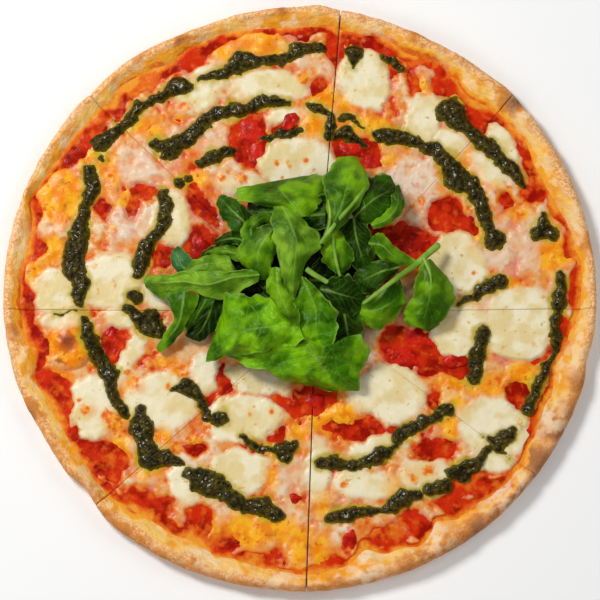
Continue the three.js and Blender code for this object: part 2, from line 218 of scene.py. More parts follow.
def colour(red, green, blue):
    """A colour in 0 to 255 as the eye sees it, in the renderer's own light values."""
    def light(value):
        share = value / 255
        return share / 12.92 if share <= 0.04045 else ((share + 0.055) / 1.055) ** 2.4
    return (light(red), light(green), light(blue), 1.0)


def new_material(name, constants):
    """A material and its nodes, with constants set on its shader's own sockets."""
    material = bpy.data.materials.new(name)
    material.use_nodes = True
    for socket, value in constants.items():
        material.node_tree.nodes["Principled BSDF"].inputs[socket].default_value = value
    return material, material.node_tree


def dressed(material, skin, normal):
    """The material with its colour and its relief joined to its shader."""
    shader = material.node_tree.nodes["Principled BSDF"]
    material.node_tree.links.new(skin, shader.inputs["Base Color"])
    material.node_tree.links.new(normal, shader.inputs["Normal"])
    return material


def put(tree, kind, settings, sockets):
    """A new node: settings are its own choices, sockets its inputs, linked or set."""
    node = tree.nodes.new(kind)
    for key, value in settings.items():
        setattr(node, key, value)
    for key, value in sockets.items():
        if isinstance(value, bpy.types.NodeSocket):
            tree.links.new(value, node.inputs[key])
        else:
            node.inputs[key].default_value = value
    return node


def painted(tree, name):
    return put(tree, "ShaderNodeAttribute", {"attribute_name": name}, {}).outputs["Fac"]


def place_of(tree):
    return put(tree, "ShaderNodeTexCoord", {}, {}).outputs["Object"]


def between(tree, value, low, high):
    """0 where value is low, 1 where it is high, smooth between."""
    sockets = {"Value": value, "From Min": low, "From Max": high}
    settings = {"interpolation_type": "SMOOTHSTEP", "clamp": True}
    return put(tree, "ShaderNodeMapRange", settings, sockets).outputs["Result"]


def sums(tree, operation, first, second):
    return put(tree, "ShaderNodeMath", {"operation": operation}, {0: first, 1: second}).outputs["Value"]


def plus(tree, first, second):
    return sums(tree, "ADD", first, second)


def times(tree, first, second):
    return sums(tree, "MULTIPLY", first, second)


def broken(tree, value, specks, share):
    """value plus a share of noise, which breaks up the border of what it covers."""
    return plus(tree, value, times(tree, specks, share))


def blended(tree, share, first, second):
    """first where share is 0, second where it is 1; each a socket or red, green and blue."""
    tints = [tint if isinstance(tint, bpy.types.NodeSocket) else colour(*tint)
             for tint in (first, second)]
    node = put(tree, "ShaderNodeMix", {"data_type": "RGBA"}, {0: share, 6: tints[0], 7: tints[1]})
    return node.outputs[2]


def layered(tree, skin, *layers):
    """Colours laid over skin in turn, each where its value rises from low to high."""
    for value, low, high, tint in layers:
        skin = blended(tree, between(tree, value, low, high), skin, tint)
    return skin


def new_group(name, inputs, outputs):
    """An empty shader node group with named sockets, its input node and its output node."""
    group = bpy.data.node_groups.new(name, "ShaderNodeTree")
    for title, kind in inputs:
        group.interface.new_socket(name=title, in_out="INPUT", socket_type=kind)
    for title, kind in outputs:
        group.interface.new_socket(name=title, in_out="OUTPUT", socket_type=kind)
    return group, group.nodes.new("NodeGroupInput").outputs, group.nodes.new("NodeGroupOutput").inputs


def mottle_group():
    """Noise with lumps Size metres across, plain and as a mask that rises from Low to High."""
    names = [(title, "NodeSocketFloat") for title in ("Size", "Detail", "Low", "High")]
    results = [(title, "NodeSocketFloat") for title in ("Value", "Mask")]
    group, given, result = new_group("mottle", names, results)
    scale = sums(group, "DIVIDE", 1.0, given["Size"])
    sockets = {"Vector": place_of(group), "Scale": scale, "Detail": given["Detail"]}
    value = put(group, "ShaderNodeTexNoise", {}, sockets).outputs["Fac"]
    group.links.new(value, result["Value"])
    group.links.new(between(group, value, given["Low"], given["High"]), result["Mask"])
    return group


mottle = mottle_group()


def mottled(tree, size, detail=3.0, low=0.0, high=1.0):
    sockets = {"Size": size * MM, "Detail": detail, "Low": low, "High": high}
    return put(tree, "ShaderNodeGroup", {"node_tree": mottle}, sockets).outputs


def grain(tree, size, detail=3.0):
    """Noise from 0 to 1 whose lumps are about size millimetres across."""
    return mottled(tree, size, detail)["Value"]


def mask(tree, size, detail, low, high):
    """The same noise as patches: 0 where it is low, 1 where it is high."""
    return mottled(tree, size, detail, low, high)["Mask"]


def relief_group():
    """Surface relief of Coarse lumps and a share of Fine ones, Depth metres high."""
    names = [(title, "NodeSocketFloat") for title in ("Coarse", "Fine", "FineShare", "Depth")]
    group, given, result = new_group("relief", names, [("Normal", "NodeSocketVector")])
    layers = [put(group, "ShaderNodeGroup", {"node_tree": mottle}, {"Size": given[title], "Detail": 3.0})
              for title in ("Coarse", "Fine")]
    height = broken(group, layers[0].outputs["Value"], layers[1].outputs["Value"], given["FineShare"])
    bump = put(group, "ShaderNodeBump", {}, {"Height": height, "Distance": given["Depth"]})
    group.links.new(bump.outputs["Normal"], result["Normal"])
    return group


relief = relief_group()


def raised(tree, coarse, fine, fine_share, depth):
    """Relief for a shader: sizes of its lumps and finer lumps, and its depth, in millimetres."""
    sockets = {"Coarse": coarse * MM, "Fine": fine * MM, "FineShare": fine_share, "Depth": depth * MM}
    return put(tree, "ShaderNodeGroup", {"node_tree": relief}, sockets).outputs["Normal"]


def crust_material():
    material, tree = new_material("baked_crust", {
        "Roughness": 0.7, "Specular IOR Level": 0.12,
        "Subsurface Weight": 0.06, "Subsurface Radius": (0.004, 0.002, 0.001)})
    toast, fine = painted(tree, "toast"), grain(tree, 1.2, 4.0)
    skin = blended(tree, mask(tree, 14, 3.0, 0.42, 0.58), (250, 199, 106), (246, 162, 36))
    skin = blended(tree, times(tree, mask(tree, 8, 4.0, 0.50, 0.62), 0.8), skin, (253, 214, 156))
    tan = blended(tree, between(tree, fine, 0.42, 0.60), (248, 202, 148), (226, 154, 84))
    warm = broken(tree, toast, grain(tree, 3.5, 4.0), 0.8)
    burnt = broken(tree, toast, fine, 0.75)
    stain = broken(tree, painted(tree, "stain"), grain(tree, 4, 4.0), 0.8)
    skin = layered(tree, skin, (painted(tree, "side"), 0.05, 0.8, tan), (warm, 0.55, 0.95, (218, 138, 60)),
                   (burnt, 0.80, 1.25, (172, 112, 68)), (burnt, 1.25, 1.6, (104, 68, 46)),
                   (stain, 0.62, 0.95, (248, 168, 46)), (stain, 1.10, 1.45, (226, 104, 26)))
    flour = times(tree, painted(tree, "flour"), mask(tree, 5, 5.0, 0.38, 0.58))
    skin = blended(tree, times(tree, flour, 0.85), skin, (248, 222, 184))
    return dressed(material, skin, raised(tree, 4.0, 1.1, 1.0, 0.4))


def dough_section(u, around, foot, edge):
    """Distance from a slice's point and height along its section, out over the rim and back below."""
    top = RIM_TOP + 2.4 * rough(around, 0 * around, 26, 11) + 1.2 * rough(around, 0 * around, 9, 12)
    crest = foot + (edge - foot) * (0.70 + 0.16 * rough(around, 0 * around, 18, 13))
    on_floor, on_rise = u < FLOOR_END, (u >= FLOOR_END) & (u < RISE_END)
    on_fall, below = (u >= RISE_END) & (u < FALL_END), u >= FALL_END
    climb = np.clip((u - FLOOR_END) / (RISE_END - FLOOR_END), 0, 1)
    rise_turn = climb * math.pi / 2
    fall_turn = np.clip((u - RISE_END) / (FALL_END - RISE_END), 0, 1) * math.pi
    outward = np.clip((u - POINT_END) / (FLOOR_END - POINT_END), 0, 1)
    back = np.clip((1 - u) / (1 - FALL_END), 0, 1)
    distance = np.where(on_floor, POINT_ROUND + (foot - POINT_ROUND) * outward, 0)
    height = np.where(on_floor, BASE_TOP * np.clip(u / POINT_END, 0, 1), 0)
    swept = 0.35 * np.sin(rise_turn) + 0.65 * climb ** 0.9
    distance = np.where(on_rise, foot + (crest - foot) * climb, distance)
    height = np.where(on_rise, BASE_TOP + (top - BASE_TOP) * swept, height)
    distance = np.where(on_fall, crest + (edge - crest) * np.sin(fall_turn) ** 0.8, distance)
    height = np.where(on_fall, top * (0.5 + 0.5 * np.cos(fall_turn)), height)
    distance = np.where(below, POINT_ROUND + (crest - POINT_ROUND) * back, distance)
    # Blisters swell the rise and the fall, and leave the floor and the underside flat.
    over = distance + height
    lumps = 1.5 * rough(around, over, 8, 21) + 0.6 * rough(around, over, 3, 24)
    falling = np.where(on_fall, np.sin(fall_turn / 2 + math.pi / 2), 0)
    swell = np.where(on_rise, np.sin(rise_turn), falling)
    height = np.clip(height + lumps * np.clip(swell, 0, 1) * 1.2, 0, None)
    return distance + np.where(on_fall, lumps * np.sin(fall_turn) * 0.6, 0), height


def paint_crust(piece):
    """Where the dough is toasted, browned at the side, floury and stained by the sauce."""
    x, y, z = corners_of(piece)
    degrees, radius = np.degrees(np.arctan2(y, x)), np.hypot(x, y)
    crest = ease(9.5, 14.0, z + 3 * rough(x, y, 10, 31))
    foot = inner_radius(degrees)
    share = (radius - foot) / (outer_radius(degrees) - foot)
    outside = ease(0.35, 0.95, share + 0.5 * rough(x, y, 9, 39))
    wx, wy = x + 8 * rough(x, y, 6, 32), y + 8 * rough(x, y, 6, 34)
    toast = np.maximum(spots(wx, wy, TOASTED), outside * bulge(degrees, BROWNED_SIDES))
    toast += 0.28 * crest + 0.35 * rough(x, y, 8, 33)
    paint(piece, "toast", np.clip(toast, 0, 1))
    paint(piece, "side", outside)
    paint(piece, "flour", np.clip(spots(x, y, FLOURED) + 0.25 * ease(0, 0.3, rough(x, y, 12, 35)), 0, 1))
    reach_out = 4.6 + 11 * rough(x, y, 22, 38)
    wander = 5 * rough(x, y, 7, 37) + 3 * rough(x, y, 3, 40)
    paint(piece, "stain", ease(foot + reach_out, foot + reach_out - 6, radius + wander))


def crust_piece(number, material):
    point, start, end = slice_sides(number)
    line = np.linspace(start, end, EDGE_STEPS)
    foot_line = reach(point, line, inner_radius)
    edge_line = reach(point, line, outer_radius)

    def place(u, v):
        angle = start + (end - start) * v
        foot = np.interp(angle, line, foot_line)
        edge = np.interp(angle, line, edge_line)
        distance, height = dough_section(u, RADIUS * angle, foot, edge)
        return point[0] + np.cos(angle) * distance, point[1] + np.sin(angle) * distance, height

    piece = warped_grid(f"crust_wedge_{number}", CRUST_GRID, place)
    weld(SEAM_GAP)
    bpy.ops.mesh.quads_convert_to_tris()
    bpy.ops.mesh.normals_make_consistent(inside=False)
    bpy.ops.object.mode_set(mode="OBJECT")
    paint_crust(piece)
    finish_piece(piece, material, "crust", f"crust_{number}")


crust_look = crust_material()
for number in SLICES:
    crust_piece(number, crust_look)

# Sauce. Cooked tomato sauce spread on the dough up to the foot of the rim, with lumps of
# pulp, orange where its oil has run into the dough.
SAUCE_LEVEL = 5.7
SAUCE_BOTTOM = 4.0
SAUCE_GRID = (130, 100)


def sauce_waves(x, y):
    return 0.7 * rough(x, y, 6, 41)


def sauce_height(x, y):
    return SAUCE_LEVEL + sauce_waves(x, y) + 0.25 * rough(x, y, 2, 44)


def sheet_piece(name, number, edge_at, grid, height_at):
    """The open top of a wedge-shaped sheet, at height_at and as far out as edge_at."""
    point, start, end = slice_sides(number, SOFT_HALF_KERFS)
    line = np.linspace(start, end, EDGE_STEPS)
    edge_line = reach(point, line, edge_at)

    def place(u, v):
        angle = start + (end - start) * v
        distance = POINT_ROUND + (np.interp(angle, line, edge_line) - POINT_ROUND) * u
        x, y = point[0] + np.cos(angle) * distance, point[1] + np.sin(angle) * distance
        return x, y, height_at(x, y)

    return warped_grid(name, grid, place)


def close_below(piece, bottom):
    """Turns the sheet's rim down to a flat bottom, in millimetres, and fills it."""
    bpy.ops.object.mode_set(mode="EDIT")
    bpy.ops.mesh.select_mode(type="EDGE")
    bpy.ops.mesh.select_all(action="DESELECT")
    bpy.ops.mesh.select_non_manifold()
    bpy.ops.mesh.extrude_edges_move()
    bpy.ops.mesh.select_mode(type="VERT")
    bpy.ops.object.mode_set(mode="OBJECT")
    chosen = np.empty(len(piece.data.vertices), dtype=bool)
    piece.data.vertices.foreach_get("select", chosen)
    rows = vertices_of(piece)
    rows[chosen, 2] = bottom * MM
    piece.data.vertices.foreach_set("co", rows.ravel())
    bpy.ops.object.mode_set(mode="EDIT")
    bpy.ops.mesh.select_mode(type="EDGE")
    bpy.ops.mesh.edge_face_add()
    bpy.ops.mesh.quads_convert_to_tris()
    bpy.ops.mesh.select_all(action="SELECT")
    bpy.ops.mesh.normals_make_consistent(inside=False)
    bpy.ops.object.mode_set(mode="OBJECT")


def sauce_material():
    material, tree = new_material("tomato_sauce", {
        "Roughness": 0.26, "Specular IOR Level": 0.12,
        "Subsurface Weight": 0.05, "Subsurface Radius": (0.003, 0.0006, 0.0003)})
    red = blended(tree, mask(tree, 9, 3.0, 0.38, 0.60), (148, 15, 3), (204, 44, 10))
    red = blended(tree, mask(tree, 5, 4.0, 0.52, 0.72), red, (222, 88, 24))
    oily = broken(tree, painted(tree, "oil"), grain(tree, 3, 4.0), 0.9)
    red = layered(tree, red, (oily, 0.5, 0.9, (222, 100, 26)), (oily, 0.85, 1.25, (232, 150, 46)))
    return dressed(material, red, raised(tree, 3.2, 0.9, 0.3, 0.4))


def sauce_edge(degrees):
    return inner_radius(degrees) + 3.0


def sauce_piece(number, material):
    piece = sheet_piece(f"sauce_sheet_{number}", number, sauce_edge, SAUCE_GRID, sauce_height)
    close_below(piece, SAUCE_BOTTOM)
    x, y = corners_of(piece)[:2]
    away = inner_radius(np.degrees(np.arctan2(y, x))) - np.hypot(x, y)
    oil = 0.7 * ease(3.0, -2.0, away + 9 * rough(x, y, 9, 47))
    oil += 0.5 * ease(0.0, 0.3, rough(x, y, 12, 48)) * ease(70, 120, np.hypot(x, y))
    paint(piece, "oil", np.clip(oil, 0, 1))
    finish_piece(piece, material, "sauce", f"sauce_{number}")


sauce_look = sauce_material()
for number in SLICES:
    sauce_piece(number, sauce_look)

# Cheese. Mozzarella torn by hand and melted: thick white pools, a thin pinkish film where it
# has mixed with the sauce, and puffed patches that oil has turned golden.
# Each row: x, y, half length, half width, and tilt in degrees where it has one.
WHITE_POOLS = (
    (-15, 108, 19, 8, 3), (-51, 103, 11, 8, 20), (-1, 67, 18, 12, -5), (33, 111, 15, 12, -60),
    (63, 91, 9, 13), (76, 79, 7, 6), (104, 77, 12, 5, -56), (97, 64, 12, 5, -45), (-94, 7, 14, 13),
    (-124, 1, 10, 10), (-64, 38, 9, 13), (-119, -13, 10, 5), (-86, -31, 12, 4, 60), (-89, -12, 9, 4),
    (-70, -55, 17, 13), (-103, -58, 11, 14), (-58, -97, 10, 6, -55), (-28, -63, 17, 11),
    (-30, -90, 13, 11), (9, -90, 6, 13), (37, -78, 13, 6, 25), (32, -97, 15, 6), (45, -50, 17, 14),
    (63, -93, 11, 8), (98, -68, 18, 14, -20), (98, -86, 9, 5, -10), (111, -15, 16, 18), (80, -18, 14, 12),
    (80, 15, 14, 15), (-22, -44, 15, 6, -15), (-48, -40, 6, 10), (-47, 115, 6, 3), (-8, 93, 8, 4),
    (-73, 0, 5, 8), (-29, 57, 11, 5),
)
PINK_POOLS = (
    (-85, 37, 12, 9), (-80, 65, 14, 11), (-4, -93, 7, 10), (107, 26, 18, 14), (58, 44, 10, 12),
    (57, 60, 11, 9), (-45, 80, 9, 9),
)
GOLD_PATCHES = (
    (-121, 50, 12, 14), (-125, 24, 6, 8), (-133, 12, 5, 7), (-104, 71, 7, 7), (-97, 62, 4, 12),
    (-80, 86, 9, 5), (-20, 130, 12, 7), (-37, 128, 6, 6), (12, 101, 6, 6), (7, 87, 6, 7), (23, 98, 5, 5),
    (34, 87, 11, 5), (40, 77, 6, 4), (64, 108, 4, 5), (95, 60, 14, 3, -45), (87, 72, 3, 5),
    (129, 20, 7, 9), (107, 6, 4, 4), (88, 29, 5, 6), (113, 42, 4, 4), (112, -43, 8, 7), (95, -47, 9, 5),
    (78, -46, 9, 5), (75, -68, 5, 7), (80, -55, 7, 4), (17, -61, 14, 11), (-14, -91, 3, 8),
    (0, -72, 5, 7), (-20, -120, 23, 8), (0, -127, 6, 12), (10, -130, 5, 10), (12, -107, 4, 6),
    (46, -98, 4, 5), (-117, -27, 11, 13), (-120, -42, 6, 4), (-90, -78, 5, 7), (-77, -92, 5, 4),
    (-69, -72, 6, 5), (-83, -46, 5, 5), (-68, -35, 3, 3), (-60, -38, 4, 4), (-52, 60, 4, 4),
    (-37, 58, 3, 3), (46, 68, 4, 4), (-90, 48, 4, 3), (2, 113, 3, 3), (-107, -59, 3, 3), (-92, -65, 5, 5),
    (57, -92, 3, 3), (66, -89, 3, 3),
)
BARE_PATCHES = (
    (-112, 81, 16, 5, 53), (-95, 95, 4, 4), (-82, 109, 11, 5, 28), (-54, 124, 8, 4, 35), (-40, 134, 6, 2),
    (17, 128, 8, 3, -80), (33, 132, 13, 4, -20), (46, 118, 4, 3), (60, 107, 8, 3, -65),
    (75, 108, 7, 6, 45), (92, 92, 8, 7), (112, 73, 16, 2.5, -57), (120, 54, 6, 4), (8, 107, 3.5, 3.5),
    (105, 50, 3, 3), (75, 42, 8, 8), (86, 32, 3, 6), (137, 26, 5, 3, 80), (140, 0, 4, 8),
    (133, -19, 6, 2, -70), (88, 6, 4, 2.5), (110, -33, 8, 2), (109, -50, 4.5, 4.5), (78, -35, 8, 6),
    (67, -55, 3, 5), (69, -79, 9, 5), (90, -98, 9, 5, -35), (76, -107, 9, 5, -35), (60, -116, 10, 5, -30),
    (45, -123, 7, 5), (18, -137, 5, 3), (28, -69, 12, 4), (48, -69, 4, 4), (26, -97, 6, 2),
    (8, -53, 10, 7), (-10, -55, 10, 2, -20), (-45, -58, 2, 6), (-38, -43, 5, 7), (-50, -118, 7, 8),
    (-38, -127, 7, 5), (-22, -136, 8, 2), (-53, -78, 5, 4), (-75, -108, 10, 4), (-80, -102, 6, 3),
    (-98, -83, 10, 9), (-94, -94, 3, 3), (-110, -72, 7, 4, -45), (-118, -58, 6, 6), (-124, -48, 8, 6),
    (-132, -22, 9, 3, -50), (-139, -2, 2.5, 5), (-135, 24, 6, 5), (-85, 46, 3.5, 5), (-70, 20, 4, 4),
    (-78, 53, 6, 3), (-11, -71, 3, 4), (80, -98, 4, 5), (58, -29, 17, 9, -20), (55, 26, 13, 9, -10),
    (-50, 24, 9, 8), (-25, 79, 9, 12), (29, 73, 13, 6, -20), (-94, -26, 11, 5, 78), (7, -55, 9, 5),
    (-48, 46, 3, 10, 30), (38, 34, 6, 5), (-5, 90, 6, 5),
)
CHEESE_FILM = 0.95
CHEESE_LIFT = 0.1
CHEESE_BOTTOM = 4.2
CHEESE_GRID = (200, 150)
# One round blister of puffed cheese at the left: x, y, radius.
BUBBLE = (-116, -28, 11)
# Each row: x, y, radius and strength of a toasted, oily orange mark on the cheese.
ORANGE_MARKS = (
    (-69.7, -35, 2.4, 1.0), (-59, -39, 3.4, 0.9), (-84, -45, 3.4, 0.8), (-87, -40, 1.6, 0.8),
    (-108, -59, 2.2, 0.8), (-111, -54, 1.2, 0.7), (-93, -65, 4.2, 1.0), (-97, -62, 3, 0.8),
    (-53, -76, 4.5, 1.0), (-62, -78, 3.4, 0.8), (-46, -67, 2.5, 0.7), (-66, -47, 2, 0.6),
    (-34, 80, 2, 0.7), (-12, 68, 1.5, 0.9), (-5, 66, 1.2, 0.9), (3, 69, 1.3, 0.9), (-9, 60, 1.2, 0.6),
    (-39, 44, 3, 0.8), (-30, 60, 3, 0.8), (-40, 60, 2.4, 0.7), (-88, 52, 4, 0.9), (-96, 60, 3, 0.9),
    (-59, 97, 3, 0.7), (-62, 91, 3, 0.8), (-70, 92, 2.2, 0.7), (47, 52, 3, 0.5), (62, 48, 2.6, 0.6),
    (57, 45, 2, 0.5), (86, 44, 2.5, 0.6), (106, 54, 2.5, 0.6), (112, 43, 3, 0.8), (22, -97, 2, 0.7),
    (36, -90, 2, 0.6), (64, -90, 3, 0.7), (57, -94, 2.4, 0.7), (-25, -62, 1.6, 0.5), (-14, -60, 1.5, 0.6),
    (68, -60, 3.5, 0.8), (100, -46, 4, 0.7), (118, -26, 1.5, 0.5), (88, 11, 1.5, 0.5), (-105, 14, 2, 0.5),
    (2, 112, 3, 0.9), (5, 100, 3, 0.9), (-62, 76, 2.4, 0.6), (-72, 70, 2.2, 0.6), (-95, 34, 2.4, 0.6),
)
# Each row: x, y, radius and strength of a brown patch on puffed cheese.
BROWN_MARKS = (
    (-117, -25, 5.5, 1.0), (-121, -34, 3, 0.6), (-130, 60, 2, 0.6), (-122, 58, 4, 0.5), (-118, 45, 5, 0.4),
    (-128, 36, 3, 0.4), (-14, -122, 5, 0.4), (4, -128, 4, 0.5), (24, -62, 3, 0.4), (-98, 69, 2.4, 0.5),
)


def patches(x, y, rows, soft):
    """How far inside the nearest of the tilted ovals a place is: 1 well inside, 0 outside."""
    most = np.zeros_like(x)
    for cx, cy, length, width, *tilt in rows:
        turn = math.radians(sum(tilt))
        along = ((x - cx) * math.cos(turn) + (y - cy) * math.sin(turn)) / length
        side = ((y - cy) * math.cos(turn) - (x - cx) * math.sin(turn)) / width
        inside = (1.08 - np.hypot(along, side)) * min(length, width)
        most = np.maximum(most, ease(-soft, soft, inside))
    return most


def wandered(x, y):
    """The same place moved a little, so that patches get ragged edges."""
    wx = x + 7 * rough(x, y, 12, 51) + 3.5 * rough(x, y, 4, 54)
    return wx, y + 7 * rough(x, y, 12, 61) + 3.5 * rough(x, y, 4, 64)


def cheese_edge(degrees):
    """Where the cheese thins out; its sheet goes on below the sauce to the rim's foot."""
    return inner_radius(degrees) - 3.0


def sheet_edge(degrees):
    return inner_radius(degrees) - 0.5


def cheese_masks(x, y):
    wx, wy = wandered(x, y)
    white = patches(wx, wy, WHITE_POOLS, 2.0)
    pink = patches(wx, wy, PINK_POOLS, 2.5)
    gold = patches(wx, wy, GOLD_PATCHES, 3.6)
    bare = patches(wx, wy, BARE_PATCHES, 3.2)
    return white, pink, gold, bare


def cheese_thickness(x, y):
    """Melted thickness over the sauce; below zero the sauce shows."""
    white, pink, gold, bare = cheese_masks(x, y)
    degrees, radius = np.degrees(np.arctan2(y, x)), np.hypot(x, y)
    edge = cheese_edge(degrees)
    ring = ease(edge - 1.0, edge + 4, radius + 11 * rough(x, y, 11, 71))
    holes = ease(0.0, 0.34, rough(x, y, 9, 73) + 0.6 * rough(x, y, 3.5, 76))
    holes *= (1 - white) * (1 - 0.6 * gold)
    blotches = 1.8 * rough(x, y, 11, 78) + 1.0 * rough(x, y, 5, 79)
    film = CHEESE_FILM + blotches * (1 - 0.8 * white) - 0.9 * holes
    thick = film + 0.6 * white + 0.3 * pink + 0.2 * gold - 2.6 * bare * (1 - white) - 3.2 * ring
    dome = np.clip(1 - ((x - BUBBLE[0]) ** 2 + (y - BUBBLE[1]) ** 2) / BUBBLE[2] ** 2, 0, 1)
    return np.clip(thick, -1.2, 4) + 3.6 * np.sqrt(dome)


def cheese_height(x, y):
    return SAUCE_LEVEL + CHEESE_LIFT + sauce_waves(x, y) + cheese_thickness(x, y)


def cheese_material():
    material, tree = new_material("melted_mozzarella", {
        "Roughness": 0.34, "Specular IOR Level": 0.3,
        "Subsurface Weight": 0.06, "Subsurface Radius": (0.003, 0.002, 0.001)})
    speckle, wide = grain(tree, 2.8, 4.0), grain(tree, 11, 3.0)
    depth = sums(tree, "SUBTRACT", broken(tree, painted(tree, "thick"), speckle, 1.1), 0.55)
    film = blended(tree, between(tree, depth, -0.3, 0.2), (184, 26, 6), (216, 70, 20))
    film = layered(tree, film, (depth, 0.1, 0.5, (226, 116, 38)), (depth, 0.4, 0.8, (230, 144, 64)),
                   (depth, 0.75, 1.15, (231, 182, 128)), (depth, 1.1, 1.6, (235, 211, 182)))
    film = blended(tree, times(tree, between(tree, wide, 0.52, 0.64), 0.4), film, (226, 184, 160))
    marks = broken(tree, grain(tree, 4.2, 5.0), speckle, 0.3)
    film = blended(tree, times(tree, between(tree, marks, 0.70, 0.82), 0.7), film, (226, 124, 62))
    skin = blended(tree, times(tree, painted(tree, "pink"), 0.3), film, (232, 206, 184))
    pool = blended(tree, between(tree, wide, 0.40, 0.60), (240, 229, 194), (229, 208, 150))
    pool = layered(tree, pool, (marks, 0.80, 0.86, (224, 176, 96)))
    skin = blended(tree, painted(tree, "white"), skin, pool)
    gold = blended(tree, mask(tree, 7, 3.0, 0.40, 0.60), (250, 178, 34), (240, 136, 8))
    gold = layered(tree, gold, (speckle, 0.58, 0.72, (208, 88, 10)))
    skin = blended(tree, painted(tree, "gold"), skin, gold)
    orange = blended(tree, between(tree, speckle, 0.42, 0.62), (244, 164, 50), (226, 104, 22))
    oily = broken(tree, painted(tree, "orange"), speckle, 0.8)
    browned = broken(tree, painted(tree, "brown"), speckle, 0.8)
    skin = layered(tree, skin, (oily, 0.45, 1.0, orange), (browned, 0.6, 1.1, (186, 88, 26)),
                   (browned, 1.1, 1.4, (146, 66, 26)))
    skin = blended(tree, painted(tree, "green_oil"), skin, (188, 164, 34))
    return dressed(material, skin, raised(tree, 4.5, 1.2, 0.7, 0.2))


# Where pesto lies and stains the cheese with green oil. Each list is one streak: x, y and
# width in millimetres at points along it.
PESTO_STREAKS = (
    ((-102, 79, 10), (-97, 81, 8), (-92, 85, 5)),
    ((-90, 88, 7), (-82, 97, 6), (-77, 99, 5), (-70, 104, 6), (-63, 108, 10), (-57, 108, 7)),
    ((-51, 112, 4), (-45, 113, 5), (-38, 115, 6), (-30, 121, 11), (-20, 121, 6), (-10, 122, 6),
     (0, 127, 7), (11, 128, 5)),
    ((-73, 77, 7), (-66, 75, 11), (-60, 79, 9), (-52, 86, 8), (-45, 93, 7), (-35, 95, 8),
     (-25, 97, 6), (-18, 100, 7), (-6, 99, 3)),
    ((-51, 68, 5), (-45, 70, 7), (-38, 74, 6), (-32, 75, 4)),
    ((-21, 80, 3), (-12, 82, 5), (-6, 84, 7), (0, 84, 4)),
    ((-107, 64, 7), (-106, 55, 9), (-109, 46, 6), (-110, 38, 7), (-112, 30, 11), (-114, 22, 10),
     (-115, 13, 11), (-111, 6, 9), (-112, -4, 6)),
    ((-123, -10, 1.5), (-112, -9, 1.5)),
    ((-108, -12, 4), (-107, -18, 7), (-104, -27, 8), (-100, -34, 9), (-96, -41, 10), (-95, -49, 6),
     (-91, -56, 7), (-87, -61, 5)),
    ((-70, 52, 6), (-68, 46, 8), (-69, 38, 7), (-72, 31, 5), (-78, 25, 8), (-81, 17, 8), (-82, 10, 4)),
    ((-84, -1, 7), (-83, -1.5, 7)),
    ((-88, -7, 4), (-82, -12, 6), (-76, -15, 14), (-71, -18, 8)),
    ((-80, -60, 6), (-80, -68, 12), (-77, -76, 9), (-75, -84, 11), (-68, -83, 8), (-60, -86, 5)),
    ((-56, -91, 7), (-50, -95, 12), (-44, -97, 13), (-35, -103, 9), (-27, -107, 8), (-18, -108, 10),
     (-11, -112, 7)),
    ((-64, -49, 3), (-57, -47, 9), (-51, -52, 7), (-48, -57, 6), (-47, -62, 5)),
    ((-41, -64, 7), (-39, -64, 7)),
    ((-29, -73, 4), (-22, -77, 5), (-14, -80, 4), (-8, -80, 10), (-3, -77, 6)),
    ((10, -86, 5), (16, -86, 8), (24, -88, 5), (32, -86, 6), (40, -82, 7), (48, -77, 3)),
    ((14, -114, 5), (19, -113, 7), (27, -111, 7), (35, -110, 5), (41, -111, 3), (47, -107, 8),
     (52, -104, 9), (59, -102, 5)),
    ((65, -100, 7), (74, -97, 8)),
    ((77, -91, 8), (82, -90, 11), (88, -86, 7), (92, -81, 4), (95, -78, 4)),
    ((95, -74, 5), (99, -76, 9), (104, -72, 7), (107, -68, 4)),
    ((91, -72, 1.5), (105, -83, 1.5)),
    ((50, -72, 8), (55, -69, 8), (62, -65, 7), (68, -62, 5), (74, -59, 6)),
    ((132, 9, 6), (132, 4, 8), (131, -3, 8), (130, -9, 4), (129, -16, 6), (129, -25, 6),
     (128, -32, 3), (124, -38, 7), (121, -44, 6), (118, -50, 6), (115, -59, 7)),
    ((93, -20, 8), (91, -27, 7), (89, -34, 9), (87, -42, 8)),
    ((81, -5, 3), (88, -1, 5), (96, 4, 8), (102, 7, 7)),
    ((124, 40, 4), (124, 35, 8), (121, 31, 8)), ((124, 34, 8), (128, 31, 7)),
    ((77, 95, 15), (80, 90, 11), (85, 86, 9), (93, 78, 8), (101, 71, 8), (108, 64, 8), (114, 56, 5)),
    ((41, 82, 8), (50, 82, 8), (60, 78, 6), (70, 74, 8), (75, 68, 9), (80, 60, 14), (88, 55, 9),
     (92, 47, 8), (94, 40, 8), (96, 33, 6), (99, 28, 12)),
    ((4, 97, 4), (10, 96, 5), (15, 93, 4), (16, 88, 5), (14, 82, 4)),
    ((20, 91, 4), (24, 92, 5), (33, 87, 2)),
    ((18, 82, 6), (23, 84, 7), (28, 80, 6), (32, 78, 4), (38, 71, 1.5)),
    ((22, 128, 2), (28, 125, 9), (27, 118, 3)),
    ((43, 123, 5), (52, 118, 5)),
    ((-62, 57, 4), (-61, 57, 4)), ((-58, 60, 4), (-57, 60, 4)), ((-101, 71, 3), (-100, 71, 3)),
    ((123, 41, 2.5), (124, 41, 2.5)), ((130, 43, 2.5), (131, 43, 2.5)),
)


def pesto_depth(x, y):
    """Millimetres inside the nearest streak's edge, below zero outside, and its half width."""
    best, half_width = np.full_like(x, -50.0), np.full_like(x, 3.0)
    for path in PESTO_STREAKS:
        for (ax, ay, aw), (bx, by, bw) in zip(path, path[1:]):
            length = (bx - ax) ** 2 + (by - ay) ** 2
            share = np.clip(((x - ax) * (bx - ax) + (y - ay) * (by - ay)) / length, 0, 1)
            half = (aw + (bw - aw) * share) / 2
            inside = half - np.hypot(x - ax - share * (bx - ax), y - ay - share * (by - ay))
            half_width = np.where(inside > best, half, half_width)
            best = np.maximum(best, inside)
    return best, half_width


